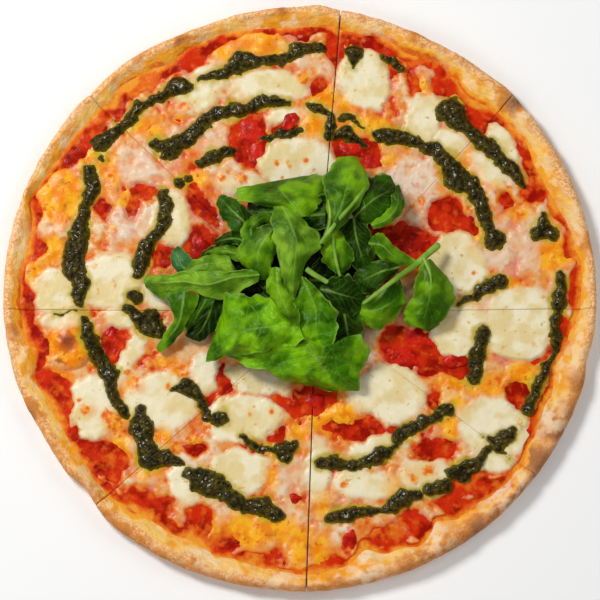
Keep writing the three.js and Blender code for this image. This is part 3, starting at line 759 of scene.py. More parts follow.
def ragged_pesto(x, y):
    """Depth inside the streaks with edges broken up by the chopped leaves."""
    wx, wy = x + 3.0 * rough(x, y, 5, 81), y + 3.0 * rough(x, y, 5, 84)
    inside, half = pesto_depth(wx, wy)
    return inside - 0.35 + 3.0 * rough(x, y, 3.2, 87), half


def cheese_piece(number, material):
    piece = sheet_piece(f"cheese_sheet_{number}", number, sheet_edge, CHEESE_GRID, cheese_height)
    close_below(piece, CHEESE_BOTTOM)
    x, y = corners_of(piece)[:2]
    white, pink, gold = cheese_masks(x, y)[:3]
    inside = ragged_pesto(x, y)[0]
    paint(piece, "white", white)
    paint(piece, "pink", pink)
    paint(piece, "gold", gold * (1 - 0.6 * white))
    paint(piece, "thick", cheese_thickness(x, y))
    paint(piece, "orange", spots(x, y, ORANGE_MARKS))
    paint(piece, "brown", spots(x, y, BROWN_MARKS))
    paint(piece, "green_oil", 0.85 * ease(-2.8, 0.5, inside + 6 * rough(x, y, 9, 91)))
    finish_piece(piece, material, "cheese", f"cheese_{number}")


cheese_look = cheese_material()
for number in SLICES:
    cheese_piece(number, cheese_look)

# Pesto. A thick, oily basil paste spooned over the baked pizza in broken rings; each streak
# is a ridge of chopped leaf with a thin border of green oil on the cheese.
PESTO_BOTTOM = 5.6
PESTO_GRID = (230, 190)
# Only the ridges and a narrow skirt around them are kept of a slice's sheet.
PESTO_SKIRT = 1.0


def pesto_material():
    material, tree = new_material("basil_pesto", {
        "Roughness": 0.3, "Specular IOR Level": 0.14, "Coat Weight": 0.35, "Coat Roughness": 0.16})
    leafy, crumbs = grain(tree, 2.2, 5.0), grain(tree, 0.9, 3.0)
    green = blended(tree, between(tree, leafy, 0.38, 0.56), (28, 24, 3), (64, 54, 12))
    green = layered(tree, green, (leafy, 0.56, 0.68, (98, 88, 26)), (crumbs, 0.62, 0.76, (130, 120, 50)),
                    (painted(tree, "edge"), 0.2, 1.0, (104, 92, 10)))
    return dressed(material, green, raised(tree, 2.2, 0.9, 0.8, 1.1))


def pesto_height(x, y):
    inside, half = ragged_pesto(x, y)
    swell = np.clip(inside / np.maximum(half, 1.5), -0.6, 1)
    arch = np.sqrt(np.clip(1 - (1 - swell) ** 2, 0, 1)) * np.clip(half / 3, 0.4, 1.15)
    ridge = 2.4 * np.where(swell > 0, arch, swell)
    lumps = (1.1 * rough(x, y, 4.2, 93) + 1.5 * rough(x, y, 1.6, 96)) * ease(-0.2, 0.5, swell)
    return cheese_height(x, y) + 0.2 + ridge + lumps


def select_vertices(piece, chosen):
    """In edit mode, with only the chosen vertices selected."""
    bpy.ops.object.mode_set(mode="OBJECT")
    piece.data.vertices.foreach_set("select", chosen)
    piece.data.edges.foreach_set("select", np.zeros(len(piece.data.edges), dtype=bool))
    piece.data.polygons.foreach_set("select", np.zeros(len(piece.data.polygons), dtype=bool))
    bpy.ops.object.mode_set(mode="EDIT")
    bpy.ops.mesh.select_mode(type="VERT")


def pesto_piece(number, material):
    piece = sheet_piece(f"pesto_{number}", number, sheet_edge, PESTO_GRID, pesto_height)
    x, y = corners_of(piece)[:2]
    select_vertices(piece, ragged_pesto(x, y)[0] < -PESTO_SKIRT)
    bpy.ops.mesh.delete(type="VERT")
    bpy.ops.mesh.select_all(action="SELECT")
    bpy.ops.mesh.delete_loose()
    close_below(piece, PESTO_BOTTOM)
    x, y = corners_of(piece)[:2]
    paint(piece, "edge", ease(1.2, 0.0, ragged_pesto(x, y)[0]))
    finish_piece(piece, material, "cheese", f"cheese_{number}")


pesto_look = pesto_material()
for number in SLICES:
    pesto_piece(number, pesto_look)

# Tomatoes. Pieces of peeled plum tomato, soft from the oven, half sunk in the cheese: wet,
# creased lumps of deep red flesh. Each row: node, x, y, half length, half width, tilt, height.
TOMATO_PIECES = (
    (1, -25, 85, 9, 7.5, 10, 3.6), (1, -23, 72, 8, 7, -20, 3.4), (2, 25, 75, 8, 5, -25, 3.2),
    (2, 36, 69, 8, 5, -15, 3.2), (3, -95.5, -21, 6.5, 4, 70, 2.8), (3, -93, -31, 6.5, 3.6, 80, 2.6),
    (4, 56, 27, 10.5, 7.5, -10, 3.8), (5, 60, -21, 10.5, 6.6, -10, 3.2), (6, 50, -32, 11, 6.6, -20, 3.2),
    (7, -51, 24, 7, 5.5, 80, 3.4), (8, 7, -54, 6.5, 4, 0, 3.0), (9, -3, -104, 4, 3, 0, 2.2),
    (10, 25, -124, 5, 3.4, 80, 1.5), (11, 78, -33, 5.5, 4.5, 0, 2.8), (12, -5, 90, 5.2, 3.2, 50, 1.2),
)
TOMATO_SUNK = 0.4
TOMATO_DEPTH = 2.5


def tomato_material():
    material, tree = new_material("roasted_tomato", {
        "Roughness": 0.32, "Specular IOR Level": 0.2,
        "Subsurface Weight": 0.15, "Subsurface Radius": (0.004, 0.0006, 0.0003)})
    red = blended(tree, mask(tree, 5, 3.0, 0.35, 0.62), (158, 12, 4), (208, 34, 12))
    # Lighter orange-red flecks: partly the flesh's own colour, partly painted highlights.
    red = blended(tree, mask(tree, 3, 3.0, 0.56, 0.74), red, (226, 84, 44))
    return dressed(material, red, raised(tree, 3.6, 1.2, 0.2, 0.6))


def tomato_piece(count, row, material):
    node, cx, cy, length, width, tilt, rise = row
    bpy.ops.object.select_all(action="DESELECT")
    bpy.ops.mesh.primitive_ico_sphere_add(subdivisions=4, radius=1)
    piece = bpy.context.object
    piece.name = piece.data.name = f"tomato_piece_{count}"
    x, y, z = (axis * MM for axis in corners_of(piece))
    # A torn wedge: corners pushed out, a crease pressed in and one side lower than the other.
    around = np.arctan2(y, x)
    torn = 1 + 0.1 * np.cos(3 * around + count) + 0.07 * np.cos(5 * around + 2 * count)
    torn += 0.42 * noise(2 * x + 9 * count, 2 * y - 2 * z, 2.2, 100 + count) - 0.21
    crease = 0.14 * np.exp(-((y * 1.2 + 0.4 * np.sin(2 * x + count)) / 0.25) ** 2)
    turn = math.radians(tilt)
    px, py = x * torn * length, y * torn * width
    base = float(cheese_height(np.array([cx * 1.0]), np.array([cy * 1.0]))[0])
    flat = np.sign(z) * np.abs(z) ** 0.6
    lift = (flat * (1 - crease * (z > 0)) + 0.2 * x * (z > 0)) * rise * 0.65
    move_vertices(piece, cx + px * math.cos(turn) - py * math.sin(turn),
                  cy + px * math.sin(turn) + py * math.cos(turn),
                  base - TOMATO_SUNK + np.maximum(lift, -TOMATO_DEPTH))
    finish_piece(piece, material, "tomato", f"tomato_{node}")


tomato_look = tomato_material()
for count, row in enumerate(TOMATO_PIECES, 1):
    tomato_piece(count, row, tomato_look)

# Rocket. Fresh leaves heaped by hand in the middle after baking: thin, cupped and wavy, with
# a pale rib and fine veins, lying over each other on their stalks.
LEAF_THICKNESS = 0.45
LEAF_GRID = (90, 40)
# The camera leans back a little, so raised places look this much further up the picture.
LEAN = 0.176
LOWEST_LEAF = 8.6


def along_curve(points, share):
    """Smooth curve through the points, evaluated at shares from 0 to 1."""
    rows = np.array(points, dtype=float)
    rows = np.vstack((2 * rows[0] - rows[1], rows, 2 * rows[-1] - rows[-2]))
    spans = len(rows) - 3
    at = np.clip(share, 0, 1) * spans
    k = np.minimum(at.astype(int), spans - 1)
    t = (at - k)[:, None]
    a, b, c, d = rows[k], rows[k + 1], rows[k + 2], rows[k + 3]
    bent = 2 * b + (c - a) * t + (2 * a - 5 * b + 4 * c - d) * t ** 2
    return 0.5 * (bent + (3 * b - a - 3 * c + d) * t ** 3)


def leaf_group():
    """A blade's colour and relief: Quilt says how strongly it puffs up between its veins."""
    names = [(title, "NodeSocketColor") for title in ("Light", "Middle", "Dark")]
    names.append(("Quilt", "NodeSocketFloat"))
    outputs = [("Color", "NodeSocketColor"), ("Normal", "NodeSocketVector")]
    group, given, result = new_group("rocket_blade", names, outputs)
    vein, quilt = painted(group, "vein"), given["Quilt"]
    sway = put(group, "ShaderNodeTexNoise", {}, {"Vector": place_of(group), "Scale": 1 / (7 * MM)})
    swayed = put(group, "ShaderNodeVectorMath", {"operation": "MULTIPLY_ADD"},
                 {0: sway.outputs["Color"], 1: (5 * MM, 5 * MM, 5 * MM), 2: place_of(group)})
    cells = put(group, "ShaderNodeTexVoronoi", {"feature": "DISTANCE_TO_EDGE"},
                {"Vector": swayed.outputs["Vector"], "Scale": 1 / (6 * MM)}).outputs["Distance"]
    green = blended(group, mask(group, 18, 2.0, 0.40, 0.60), given["Middle"], given["Light"])
    shade = times(group, mask(group, 14, 2.0, 0.48, 0.64), 0.65)
    net = times(group, between(group, cells, 0.08, 0.0), times(group, quilt, 0.16))
    lines = times(group, vein, broken(group, 0.24, quilt, 0.34))
    # Pale margin: a painted highlight where the blade's edge catches the light.
    margin_highlight = times(group, painted(group, "margin_highlight"), 0.55)
    middle_rib = times(group, painted(group, "rib"), 0.45)
    for share, tint in ((shade, given["Dark"]), (net, (140, 190, 70)), (lines, (130, 176, 62)),
                        (margin_highlight, (146, 182, 74)), (middle_rib, (146, 186, 74))):
        green = blended(group, share, green, tint)
    puffs = times(group, between(group, cells, 0.0, 0.35), times(group, quilt, 0.5))
    height = sums(group, "SUBTRACT", plus(group, puffs, grain(group, 6, 2.0)), times(group, vein, 0.35))
    bump = put(group, "ShaderNodeBump", {}, {"Height": height, "Distance": 0.8 * MM})
    group.links.new(green, result["Color"])
    group.links.new(bump.outputs["Normal"], result["Normal"])
    return group


blade = leaf_group()


def paint_blade(piece, left, rib, right, seed):
    """Where the rib and the side veins run, and the pale margin, a painted highlight along the edge, from
    the grid's own map.
    """
    layer = np.empty(len(piece.data.loops) * 2)
    piece.data.uv_layers[0].data.foreach_get("uv", layer)
    corner = np.empty(len(piece.data.loops), dtype=int)
    piece.data.loops.foreach_get("vertex_index", corner)
    u, v = np.zeros(len(piece.data.vertices)), np.zeros(len(piece.data.vertices))
    u[corner], v[corner] = layer[0::2], layer[1::2]
    out = np.abs(2 * v - 1)
    edge = np.where((v < 0.5)[:, None], along_curve(left, u), along_curve(right, u))
    from_rib = out * np.linalg.norm(edge - along_curve(rib, u), axis=1)
    paint(piece, "rib", ease(0.9 - 0.5 * u, 0.25, from_rib) * ease(1.05, 0.4, u))
    rows = 6.0 * u - 2.4 * out ** 0.8 + 0.4 * np.sin(7 * u + seed) + 0.4 * (v > 0.5)
    paint(piece, "vein", np.clip(1 - np.abs((rows % 1) - 0.5) * 16, 0, 1) * ease(1.0, 0.5, out))
    paint(piece, "margin_highlight", ease(0.9, 1.0, out))


def leaf_piece(name, left, rib, right, dome, wave, seed, material, grid=LEAF_GRID):
    """A blade between its two edges, over its rib, from stalk end to tip, traced as seen in the
    photograph's view. dome raises both halves between rib and edge, wave ripples the blade."""
    def place(u, v):
        out = 2 * v - 1
        middle = along_curve(rib, u)
        edge = np.where((out < 0)[:, None], along_curve(left, u), along_curve(right, u))
        side = np.where(out > 0, 30.0, 0.0)
        scallop = 0.36 * rough(60 * u + 7 * seed, side, 8, 190) + 0.04 * np.sin(37 * u + 3 * seed)
        share = np.abs(out) * (1 + scallop * np.abs(out) ** 3)
        spot = middle + (edge - middle) * share[:, None]
        spot[:, 0] += 2.2 * out ** 2 * rough(spot[:, 0], spot[:, 1], 8, 210 + seed)
        spot[:, 1] += 2.2 * out ** 2 * rough(spot[:, 0], spot[:, 1], 8, 250 + seed)
        lift = dome * np.sin(math.pi * np.abs(out) ** 0.8) * np.sin(math.pi * np.clip(u, 0.05, 1)) ** 0.5
        ripple = 1.3 * wave * (np.abs(out) ** 1.5) * np.sin(13 * u + seed + 2 * out)
        quilt = 1.4 * wave * rough(spot[:, 0] + 40 * seed, spot[:, 1], 8, 200)
        crumple = np.clip(1 - 7 * np.abs(rough(spot[:, 0] + 40 * seed, spot[:, 1], 15, 205)), 0, 1)
        z = np.maximum(spot[:, 2] + lift + ripple + quilt + 1.5 * crumple, LOWEST_LEAF)
        return spot[:, 0], spot[:, 1] - LEAN * (z - SAUCE_LEVEL), z

    piece = warped_grid(name, grid, place)
    paint_blade(piece, left, rib, right, seed)
    wall = piece.modifiers.new("blade", "SOLIDIFY")
    wall.thickness = LEAF_THICKNESS * MM
    wall.offset = 0
    bpy.ops.object.modifier_apply(modifier=wall.name)
    finish_piece(piece, material, "rocket", "rocket")


def leaf_look(name, light, middle, dark, quilt):
    """A look for leaves, from its three greens and how strongly the blades puff up."""
    material, tree = new_material(name, {
        "Roughness": 0.36, "Specular IOR Level": 0.14,
        "Subsurface Weight": 0.08, "Subsurface Radius": (0.001, 0.002, 0.0004)})
    sockets = {"Light": colour(*light), "Middle": colour(*middle), "Dark": colour(*dark), "Quilt": quilt}
    skin = put(tree, "ShaderNodeGroup", {"node_tree": blade}, sockets).outputs
    return dressed(material, skin["Color"], skin["Normal"])


bright_leaf = leaf_look("rocket_bright", (116, 166, 14), (50, 96, 1), (17, 46, 0), 0.3)
puffed_leaf = leaf_look("rocket_puffed", (122, 180, 6), (62, 118, 0), (22, 66, 0), 0.9)
pale_leaf = leaf_look("rocket_pale", (130, 174, 42), (76, 120, 12), (32, 70, 2), 0.4)
# Painted shade: a darker copy of the leaf greens for leaves lying in shade under and between the others.
shaded_leaf = leaf_look("rocket_shaded", (46, 86, 4), (26, 54, 1), (10, 28, 0), 0.3)
cool_leaf = leaf_look("rocket_cool", (76, 128, 70), (50, 100, 48), (32, 76, 30), 0.2)
# Painted shade: near-black greens for leaves deep in the heap's shadow.
under_shaded_leaf = leaf_look("rocket_under_shaded", (30, 58, 6), (18, 38, 3), (8, 20, 1), 0.2)
# Each leaf: its left edge, rib and right edge, as x, y and height from stalk end to tip, how far
# its halves are raised, how strongly it ripples, where its ripples start, and its look.
LEAVES = (
    ("heap_top",
     ((-14, 45, 27), (-14, 34, 31), (-11, 24, 33), (-9, 12, 33), (-7, 4, 31), (-4.8, -5, 29)),
     ((-9, 45, 29), (-5, 36, 35), (-2, 27, 38), (-3, 15, 37), (-4, 5, 35), (-4.2, -5, 30)),
     ((-4, 43, 27), (4, 35, 31), (10.5, 27, 32), (3, 16, 32), (-1, 4, 31), (-3.6, -5, 29)),
     1.6, 1.0, 1, pale_leaf),
    ("top_broad",
     ((0, 39, 26), (-14, 45, 25), (-28, 47, 21), (-34, 54, 15)),
     ((2, 39.5, 27), (-4, 46, 29), (-9, 52, 27), (-13, 58, 18)),
     ((4, 40, 26), (10, 46, 25), (13.5, 54, 22), (10, 62, 15)),
     2.0, 1.2, 2, bright_leaf),
    ("top_upright",
     ((11, 27, 30), (14, 37, 31), (13, 47, 29), (12, 56, 26), (15, 66, 21), (20, 70.5, 17)),
     ((11.5, 26, 31), (16, 35, 34), (20, 44, 33), (23, 53, 32), (25, 63, 28), (25, 71, 19)),
     ((12, 25, 30), (19, 33, 31), (26, 41, 29), (32, 52, 26), (33.5, 62, 22), (29, 71, 16)),
     1.8, 0.9, 3, bright_leaf),
    ("right_top",
     ((26, 42, 22), (31, 52, 23), (36, 61, 18), (46, 60.5, 14)),
     ((27, 39, 24), (34, 46, 27), (41, 51, 23), (49, 54, 15)),
     ((28, 36, 22), (36, 36, 23), (45, 39, 19), (53, 48, 14)),
     1.0, 1.0, 4, shaded_leaf),
    ("right_top_margin",
     ((35, 37, 23), (42, 41, 23), (46, 46, 21), (46.5, 55, 16)),
     ((36, 35, 24), (44, 39, 24.5), (49, 46, 22), (49, 56, 16)),
     ((37, 33.5, 22), (46, 37, 22), (53, 46, 18), (51, 56.5, 14)),
     0.6, 0.5, 5, bright_leaf),
    ("left_round",
     ((-29, 28, 20), (-35, 34, 20), (-40, 40, 17), (-42.5, 47, 14)),
     ((-25, 34, 23), (-31, 40, 23), (-36, 45, 19), (-41, 50, 14)),
     ((-21, 39, 21), (-28, 44, 20), (-34, 49, 17), (-39, 52, 14)),
     0.8, 0.7, 6, shaded_leaf),
    ("left_fold",
     ((-27, 26, 24), (-29.5, 33, 25), (-24, 40, 24), (-17, 43, 23)),
     ((-24, 27, 26), (-24.5, 34, 27), (-20, 38.5, 27), (-15, 40.5, 25)),
     ((-21, 28, 25), (-20, 34, 26), (-16, 36.5, 26), (-13, 38.5, 25)),
     1.0, 0.7, 7, bright_leaf),
    ("left_inner",
     ((-14, 36, 27), (-23, 33, 27), (-29, 25, 25), (-29.5, 17, 23), (-21, 8, 22)),
     ((-13, 34, 29), (-17, 29, 31), (-21, 22, 30), (-21, 15, 28), (-18, 7.5, 23)),
     ((-12, 32, 27), (-11.5, 26, 28), (-12, 19, 27), (-14, 12, 25), (-15, 7.5, 22)),
     1.2, 1.1, 8, bright_leaf),
    ("left_long",
     ((-21, 7, 24), (-34, -1, 21), (-46, -1, 20), (-56, 2, 19), (-68, -3, 14), (-77.5, 3, 11)),
     ((-20, 10, 26), (-34, 8.5, 27), (-46, 5, 26), (-58, 6.5, 23), (-70, 6, 18), (-79, 6.5, 11)),
     ((-22, 13, 25), (-33, 12, 24), (-45, 12.5, 23), (-56, 12, 21), (-68, 9.5, 16), (-77, 10, 11)),
     -1.4, 1.3, 9, pale_leaf),
    ("left_strap",
     ((-50, 0, 20), (-53, -7, 18), (-57, -16, 15), (-63, -23.5, 12), (-70, -29.5, 10)),
     ((-58, 2, 21), (-59, -7, 20), (-61, -15, 17), (-66, -22, 14), (-71.5, -28.5, 10.5)),
     ((-68, 1, 17), (-65, -7, 17), (-63.5, -13.5, 15), (-68.5, -20, 12), (-73, -26.5, 10)),
     0.6, 0.6, 10, bright_leaf),
    ("left_shade",
     ((-41, 3, 18), (-43, -3, 17), (-48, -9, 15), (-54, -16, 12.5)),
     ((-46, 2, 19), (-48, -4, 18), (-52, -11, 16), (-55.5, -17.5, 13)),
     ((-52, 0, 17), (-54, -6, 16.5), (-57, -12, 14.5), (-57, -19, 12.5)),
     0.5, 0.8, 11, shaded_leaf),
    # left_dark: a leaf coloured in painted shade, filling the shadow between left_shade and low_left_fold.
    ("left_dark",
     ((-37, 0, 14), (-38, -8, 13), (-41, -17, 11.5), (-50, -24, 10)),
     ((-43, 0, 15), (-45, -8, 14.5), (-49, -17, 12.5), (-54, -23, 10.5)),
     ((-48, -1, 14), (-51, -9, 13.5), (-56, -17, 12), (-57.5, -21, 10)),
     0.5, 0.8, 31, under_shaded_leaf),
    ("left_point",
     ((-25, 15, 22), (-33, 18, 20), (-40, 20, 18), (-46.5, 20.5, 15)),
     ((-25, 19, 23), (-33, 21, 22.5), (-40, 22.5, 20), (-48, 21, 15)),
     ((-27, 23, 22), (-34, 24.5, 20), (-41, 25, 18), (-47, 22, 15)),
     0.6, 1.2, 12, bright_leaf),
    ("left_curl",
     ((-26, 24, 22), (-33, 25, 21), (-38, 25, 18), (-42, 24.5, 15)),
     ((-26, 27, 23), (-33, 28.5, 22.5), (-38, 28, 20), (-43, 26.5, 15)),
     ((-27, 31, 21), (-33, 32.5, 20), (-38, 31.5, 17), (-42.5, 28.5, 15)),
     0.6, 1.3, 13, shaded_leaf),
    ("left_loop",
     ((-57, 7, 18), (-52, 9, 19), (-46, 10.5, 20), (-41, 10.5, 21), (-38, 9, 21)),
     ((-58, 9.5, 18), (-53, 13.5, 20.5), (-46, 16, 22), (-38, 15, 23), (-35, 10, 22)),
     ((-59, 12, 17), (-54, 17.5, 18), (-46, 20.5, 20), (-36, 20, 21), (-32, 12, 21)),
     0.9, 1.3, 14, pale_leaf),
    ("left_small",
     ((-50, 12.5, 15), (-56, 10, 13), (-61, 10, 11), (-65, 16, 10), (-64.5, 22, 10)),
     ((-50, 14, 16), (-55, 13.5, 15.5), (-59, 14, 14), (-61.5, 19, 12), (-63, 24, 10.5)),
     ((-50.5, 15, 15), (-53, 17, 14), (-56, 20, 12.5), (-59, 22.5, 11), (-62, 24.5, 10)),
     0.4, 0.5, 15, cool_leaf),
    ("low_left_fold",
     ((2, -23, 28), (-9, -27.5, 25), (-20, -30, 22), (-32, -32, 19), (-47, -34.5, 13)),
     ((0, -17, 29), (-10, -16, 31), (-20, -17, 30), (-31, -20, 26), (-46.5, -30, 14)),
     ((-6, -11, 28), (-14, -3, 28), (-23, 1, 26), (-36, 0, 22), (-42, -18, 16)),
     2.2, 2.7, 16, puffed_leaf),
    ("low_front",
     ((4, -22, 25), (14, -24, 24), (31, -20, 20), (35.5, -32, 16), (31, -40, 14), (29.5, -49, 11)),
     ((2, -22.5, 26), (5, -27, 28), (8, -32, 28), (12, -38, 24), (16, -44, 19), (20, -49, 12)),
     ((-1, -20, 23), (-19, -25, 19), (-41, -32, 12.5), (-20, -38.5, 15), (4, -46.5, 14), (16, -49, 11)),
     1.8, 2.6, 17, puffed_leaf),
    ("heap_cupped",
     ((-1, 8, 31), (-3, -2, 29), (-4, -11, 28), (-2, -19, 27), (4, -25, 25)),
     ((1, 9, 32), (5, 0, 32), (8, -9, 29), (8, -18, 27), (10, -25.5, 25)),
     ((3, 9, 31), (10, 1.5, 33), (16, -5.5, 33), (18.5, -14, 31), (15.5, -26.5, 26)),
     -0.8, 1.8, 18, puffed_leaf),
    ("heap_inner",
     ((-15, 13, 29), (-17, 2, 28), (-13, -7, 28), (-5, -18, 28)),
     ((-12, 14, 30), (-11, 4, 32), (-8, -5, 32), (-2, -18, 29)),
     ((-8, 13, 29), (-5, 3, 30), (-2, -6, 30), (1, -16, 28)),
     1.0, 1.4, 19, bright_leaf),
    ("right_round",
     ((10, 5, 26), (17, 10, 26), (25, 9.5, 24), (31, 2, 20)),
     ((10, 3, 27), (17, 1, 29), (24, -1, 27), (32, -3, 21)),
     ((10, 0, 26), (16, -6, 26), (23, -12, 23), (31, -9, 19)),
     1.2, 0.9, 20, shaded_leaf),
    ("right_below",
     ((17, -9, 22), (16, -16, 20), (16, -22, 18), (20, -26, 15)),
     ((22, -9, 23), (23, -15, 22), (24, -21, 19), (24, -27, 15)),
     ((30, -9, 21), (31, -14, 19), (31, -20, 17), (27, -26, 14)),
     0.8, 1.2, 21, shaded_leaf),
    ("right_inner",
     ((13, 31, 27), (10, 24, 27), (12, 17, 26), (18, 10.5, 24)),
     ((16, 33, 28), (17, 25, 29), (18, 18, 28), (19.5, 10, 25)),
     ((20, 33, 27), (24, 26, 26), (27.5, 17, 25), (21, 10.5, 24)),
     0.8, 1.1, 22, bright_leaf),
    ("right_dark",
     ((22, 38, 24), (21, 30, 23), (23, 22, 22), (28, 12, 20)),
     ((27, 39, 25), (28, 30, 25), (30, 22, 24), (33, 13, 21)),
     ((33, 37, 23), (35, 30, 22), (37, 22, 20), (38, 14, 18)),
     0.8, 1.4, 23, shaded_leaf),
    ("right_bright",
     ((35, 23, 21), (40, 19, 21), (46, 16, 20), (57, 13.5, 17)),
     ((34, 26, 22), (41, 25, 24), (47, 19.5, 22), (57, 15, 18)),
     ((36, 30, 21), (42, 30.5, 21), (49, 23.5, 19), (58, 16.5, 17)),
     0.8, 0.8, 24, bright_leaf),
    ("right_middle",
     ((49, 16, 19), (40, 17, 21), (31, 15, 21), (26, 9, 21)),
     ((50, 14, 20), (42, 12, 23), (35, 9, 23.5), (28, 5, 22)),
     ((49, 11.5, 19), (42, 6, 20), (36, 1, 20), (31, 0, 20)),
     0.8, 0.9, 25, shaded_leaf),
    ("right_low",
     ((31, -3.5, 21), (38, 2, 21), (45, 6.5, 20), (50, 9, 19)),
     ((30.5, -8, 20), (38, -8, 20), (46, -4, 19), (52, 2, 17)),
     ((29, -12, 17), (37, -17.5, 15), (47, -13, 14), (53, -3, 14)),
     0.9, 1.1, 26, bright_leaf),
    ("left_under",
     ((-20, 12, 15), (-30, 10, 14), (-40, 11, 13), (-49, 14, 11)),
     ((-20, 19, 16), (-31, 18, 16), (-42, 18, 14), (-51, 18, 11)),
     ((-20, 28, 15), (-31, 27, 14), (-41, 25, 13), (-49, 22, 11)),
     0.8, 1.8, 28, shaded_leaf),
    ("top_under",
     ((13, 33, 24), (-2, 33, 23), (-16, 36, 20), (-26, 39, 15)),
     ((13, 41, 25), (-2, 40, 24), (-16, 42, 21), (-27, 43, 15)),
     ((14, 51, 24), (-1, 48, 23), (-15, 48, 19), (-26, 47, 14)),
     0.8, 1.4, 29, shaded_leaf),
    ("right_under",
     ((18, 18, 20), (26, 15, 18), (33, 13, 16), (40, 10, 13)),
     ((18, 27, 21), (27, 25, 20), (35, 22, 18), (42, 16, 13)),
     ((19, 38, 20), (28, 37, 19), (36, 31, 17), (42, 23, 13)),
     0.8, 1.6, 30, shaded_leaf),
    ("right_large",
     ((61, 16, 18), (58, 8, 17), (56, 0, 16), (52, -9, 13), (53, -15, 11)),
     ((63.5, 18, 19), (65.5, 9, 22), (65, 0, 22), (63, -9, 18), (60, -17, 12)),
     ((66, 18, 18), (72, 11, 17), (77.5, 0, 15), (73, -10, 13), (66, -19.5, 10)),
     1.4, 0.9, 27, bright_leaf),
)
for title, left, rib, right, dome, wave, seed, look in LEAVES:
    leaf_piece(f"leaf_{title}", left, rib, right, dome, wave, seed, look)

# Leaves under the others, coloured in painted shade: they fill the heap and show only as the dark green of
# shade between the upper ones.
UNDER_LEAVES = 12
UNDER_GRID = (50, 24)
HEAP_MIDDLE = (0.0, 7.0)
# Along a leaf: distance from the middle of the heap, half width, height.
UNDER_LEAF = ((4, 5, 21), (16, 11, 20), (28, 12, 15), (38, 6, 10))
draw = np.random.default_rng(7)
for count in range(UNDER_LEAVES):
    turn = 2 * math.pi * count / UNDER_LEAVES + draw.uniform(-0.2, 0.2)
    ahead = np.array((math.cos(turn), 0.8 * math.sin(turn), 0))
    side = np.array((-math.sin(turn), math.cos(turn), 0))
    lines = [[], [], []]
    for place_along, width, height in UNDER_LEAF:
        middle = np.array((*HEAP_MIDDLE, height + draw.uniform(-1.5, 1.5))) + ahead * place_along
        for line, share in zip(lines, (-1, 0, 1)):
            line.append(middle + side * width * share - np.array((0, 0, 1.5 * abs(share))))
    leaf_piece(f"leaf_under_{count + 1}", *lines, 0.8, 1.2, 30 + count, under_shaded_leaf, UNDER_GRID)

# Stalks. Round juicy stalks of the rocket leaves that stick out of the heap: pale green,
# grooved, thinner towards the leaf.
# Each row: name, x, y and height at points along it, radius at its first end and at its last.
STALKS = (
    ("right",
     ((70.5, 26, 15), (64, 20.5, 18), (57, 14.5, 20), (48, 8, 23), (39, 1, 25), (31, -5, 25)),
     1.7, 0.8),
    ("top", ((33, 55, 28), (27, 47, 31), (21, 40, 34), (15, 32.5, 35), (10, 25.5, 34)), 0.8, 1.0),
    ("top_left", ((14, 56, 27), (14.5, 47, 31), (15, 38, 34), (13, 29, 34)), 0.5, 0.8),
    ("middle", ((16, 33, 32), (17, 24, 31), (18, 17, 30), (20, 9, 28)), 0.8, 0.7),
    ("short", ((3, 13, 33), (8, 9.5, 33), (14, 6, 32)), 1.3, 1.1),
    ("right_rib", ((62, 19, 20), (65.5, 9, 22.8), (65, 0, 22.8)), 0.7, 0.4),
)
STALK_GRID = (60, 14)
STALK_SEAM_GAP = 0.00001


def stalk_material():
    material, tree = new_material("rocket_stalk", {"Roughness": 0.38, "Specular IOR Level": 0.3})
    green = blended(tree, mask(tree, 8, 3.0, 0.35, 0.65), (142, 178, 72), (104, 148, 40))
    return dressed(material, green, raised(tree, 3.0, 0.8, 1.0, 0.2))


def stalk_piece(title, route, thick, thin, material):
    def place(u, v):
        centre = along_curve(route, u)
        ahead = along_curve(route, np.minimum(u + 0.01, 1)) - along_curve(route, np.maximum(u - 0.01, 0))
        ahead /= np.linalg.norm(ahead, axis=1)[:, None]
        side = np.cross(ahead, np.array((0.0, 0.0, 1.0)))
        side /= np.linalg.norm(side, axis=1)[:, None]
        up = np.cross(side, ahead)
        turn = -2 * math.pi * v
        radius = (thick + (thin - thick) * u) * np.sqrt(np.clip(1 - (2 * u - 1) ** 30, 0.02, 1))
        radius = radius * (1 + 0.12 * np.cos(2 * turn))
        spot = centre + side * (radius * np.cos(turn))[:, None] + up * (radius * np.sin(turn))[:, None]
        return spot[:, 0], spot[:, 1] - LEAN * (spot[:, 2] - SAUCE_LEVEL), spot[:, 2]

    piece = warped_grid(f"stalk_{title}", STALK_GRID, place)
    weld(STALK_SEAM_GAP)
    bpy.ops.mesh.normals_make_consistent(inside=False)
    finish_piece(piece, material, "rocket", "rocket")


stalk_look = stalk_material()
for title, route, thick, thin in STALKS:
    stalk_piece(title, route, thick, thin, stalk_look)

# Floor. A plain pale studio surface that the pizza lies on, with soft light from above and
# a camera that looks almost straight down.
FLOOR_SIZE = 4.0
FLOOR_LEVEL = -0.0002
CAMERA_ELEVATION = 80.0
LENS = 200.0
SENSOR = 36.0
PIZZA_PIXELS = 594.0
FRAME_PIXELS = 600.0
AIM = (0.0, -0.0032, 0.008)
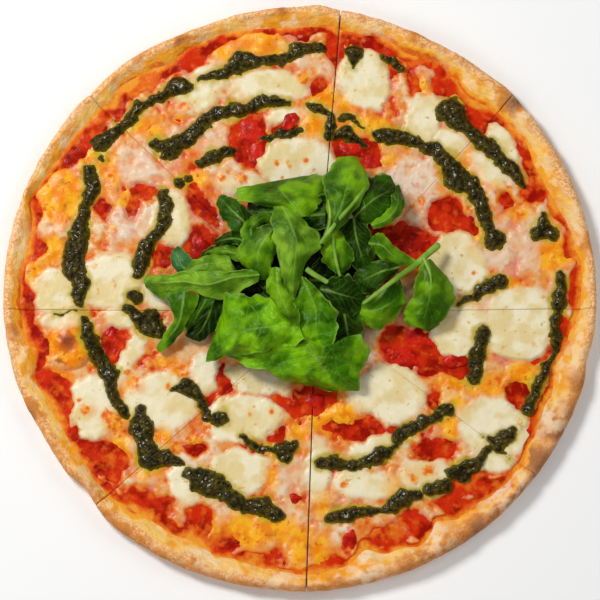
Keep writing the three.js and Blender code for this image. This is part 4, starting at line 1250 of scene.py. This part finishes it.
# Each row: name, azimuth, elevation, distance, size, power, and if the food mirrors it.
LAMPS = (
    ("window", -50, 50, 1.4, 0.4, 14, True), ("fill_right", 70, 42, 1.6, 1.0, 5.5, False),
    ("fill_front", 165, 42, 1.6, 1.0, 5.0, False), ("fill_left", -120, 42, 1.6, 1.0, 3.6, False),
)

bpy.ops.object.select_all(action="DESELECT")
bpy.ops.mesh.primitive_plane_add(size=FLOOR_SIZE, location=(0, 0, FLOOR_LEVEL))
floor = bpy.context.object
floor.name = "floor"
floor_look = new_material("pale_floor", {"Roughness": 0.8, "Base Color": colour(252, 252, 251)})
floor.data.materials.append(floor_look[0])

world = bpy.data.worlds.new("studio")
world.use_nodes = True
world.node_tree.nodes["Background"].inputs["Color"].default_value = (1.0, 0.99, 0.97, 1.0)
world.node_tree.nodes["Background"].inputs["Strength"].default_value = 0.1
bpy.context.scene.world = world


def soft_light(name, azimuth, elevation, distance, size, power, mirrored):
    lamp = bpy.data.lights.new(name, "AREA")
    lamp.shape = "DISK"
    lamp.size = size
    lamp.energy = power
    holder = bpy.data.objects.new(name, lamp)
    bpy.context.collection.objects.link(holder)
    turn, rise = math.radians(azimuth), math.radians(elevation)
    level = distance * math.cos(rise)
    holder.location = (level * math.sin(turn), level * math.cos(turn), distance * math.sin(rise))
    holder.rotation_euler = (math.pi / 2 - rise, 0, math.pi - turn)
    holder.visible_glossy = mirrored


for row in LAMPS:
    soft_light(*row)

camera = bpy.data.cameras.new("camera")
camera.lens = LENS
camera.sensor_width = SENSOR
viewer = bpy.data.objects.new("camera", camera)
bpy.context.collection.objects.link(viewer)
rise = math.radians(CAMERA_ELEVATION)
away = 2 * RADIUS * MM * FRAME_PIXELS / PIZZA_PIXELS * LENS / SENSOR
viewer.location = (AIM[0], AIM[1] - away * math.cos(rise), AIM[2] + away * math.sin(rise))
viewer.rotation_euler = (math.pi / 2 - rise, 0, 0)
bpy.context.scene.camera = viewer
bpy.context.scene.view_settings.view_transform = "Standard"
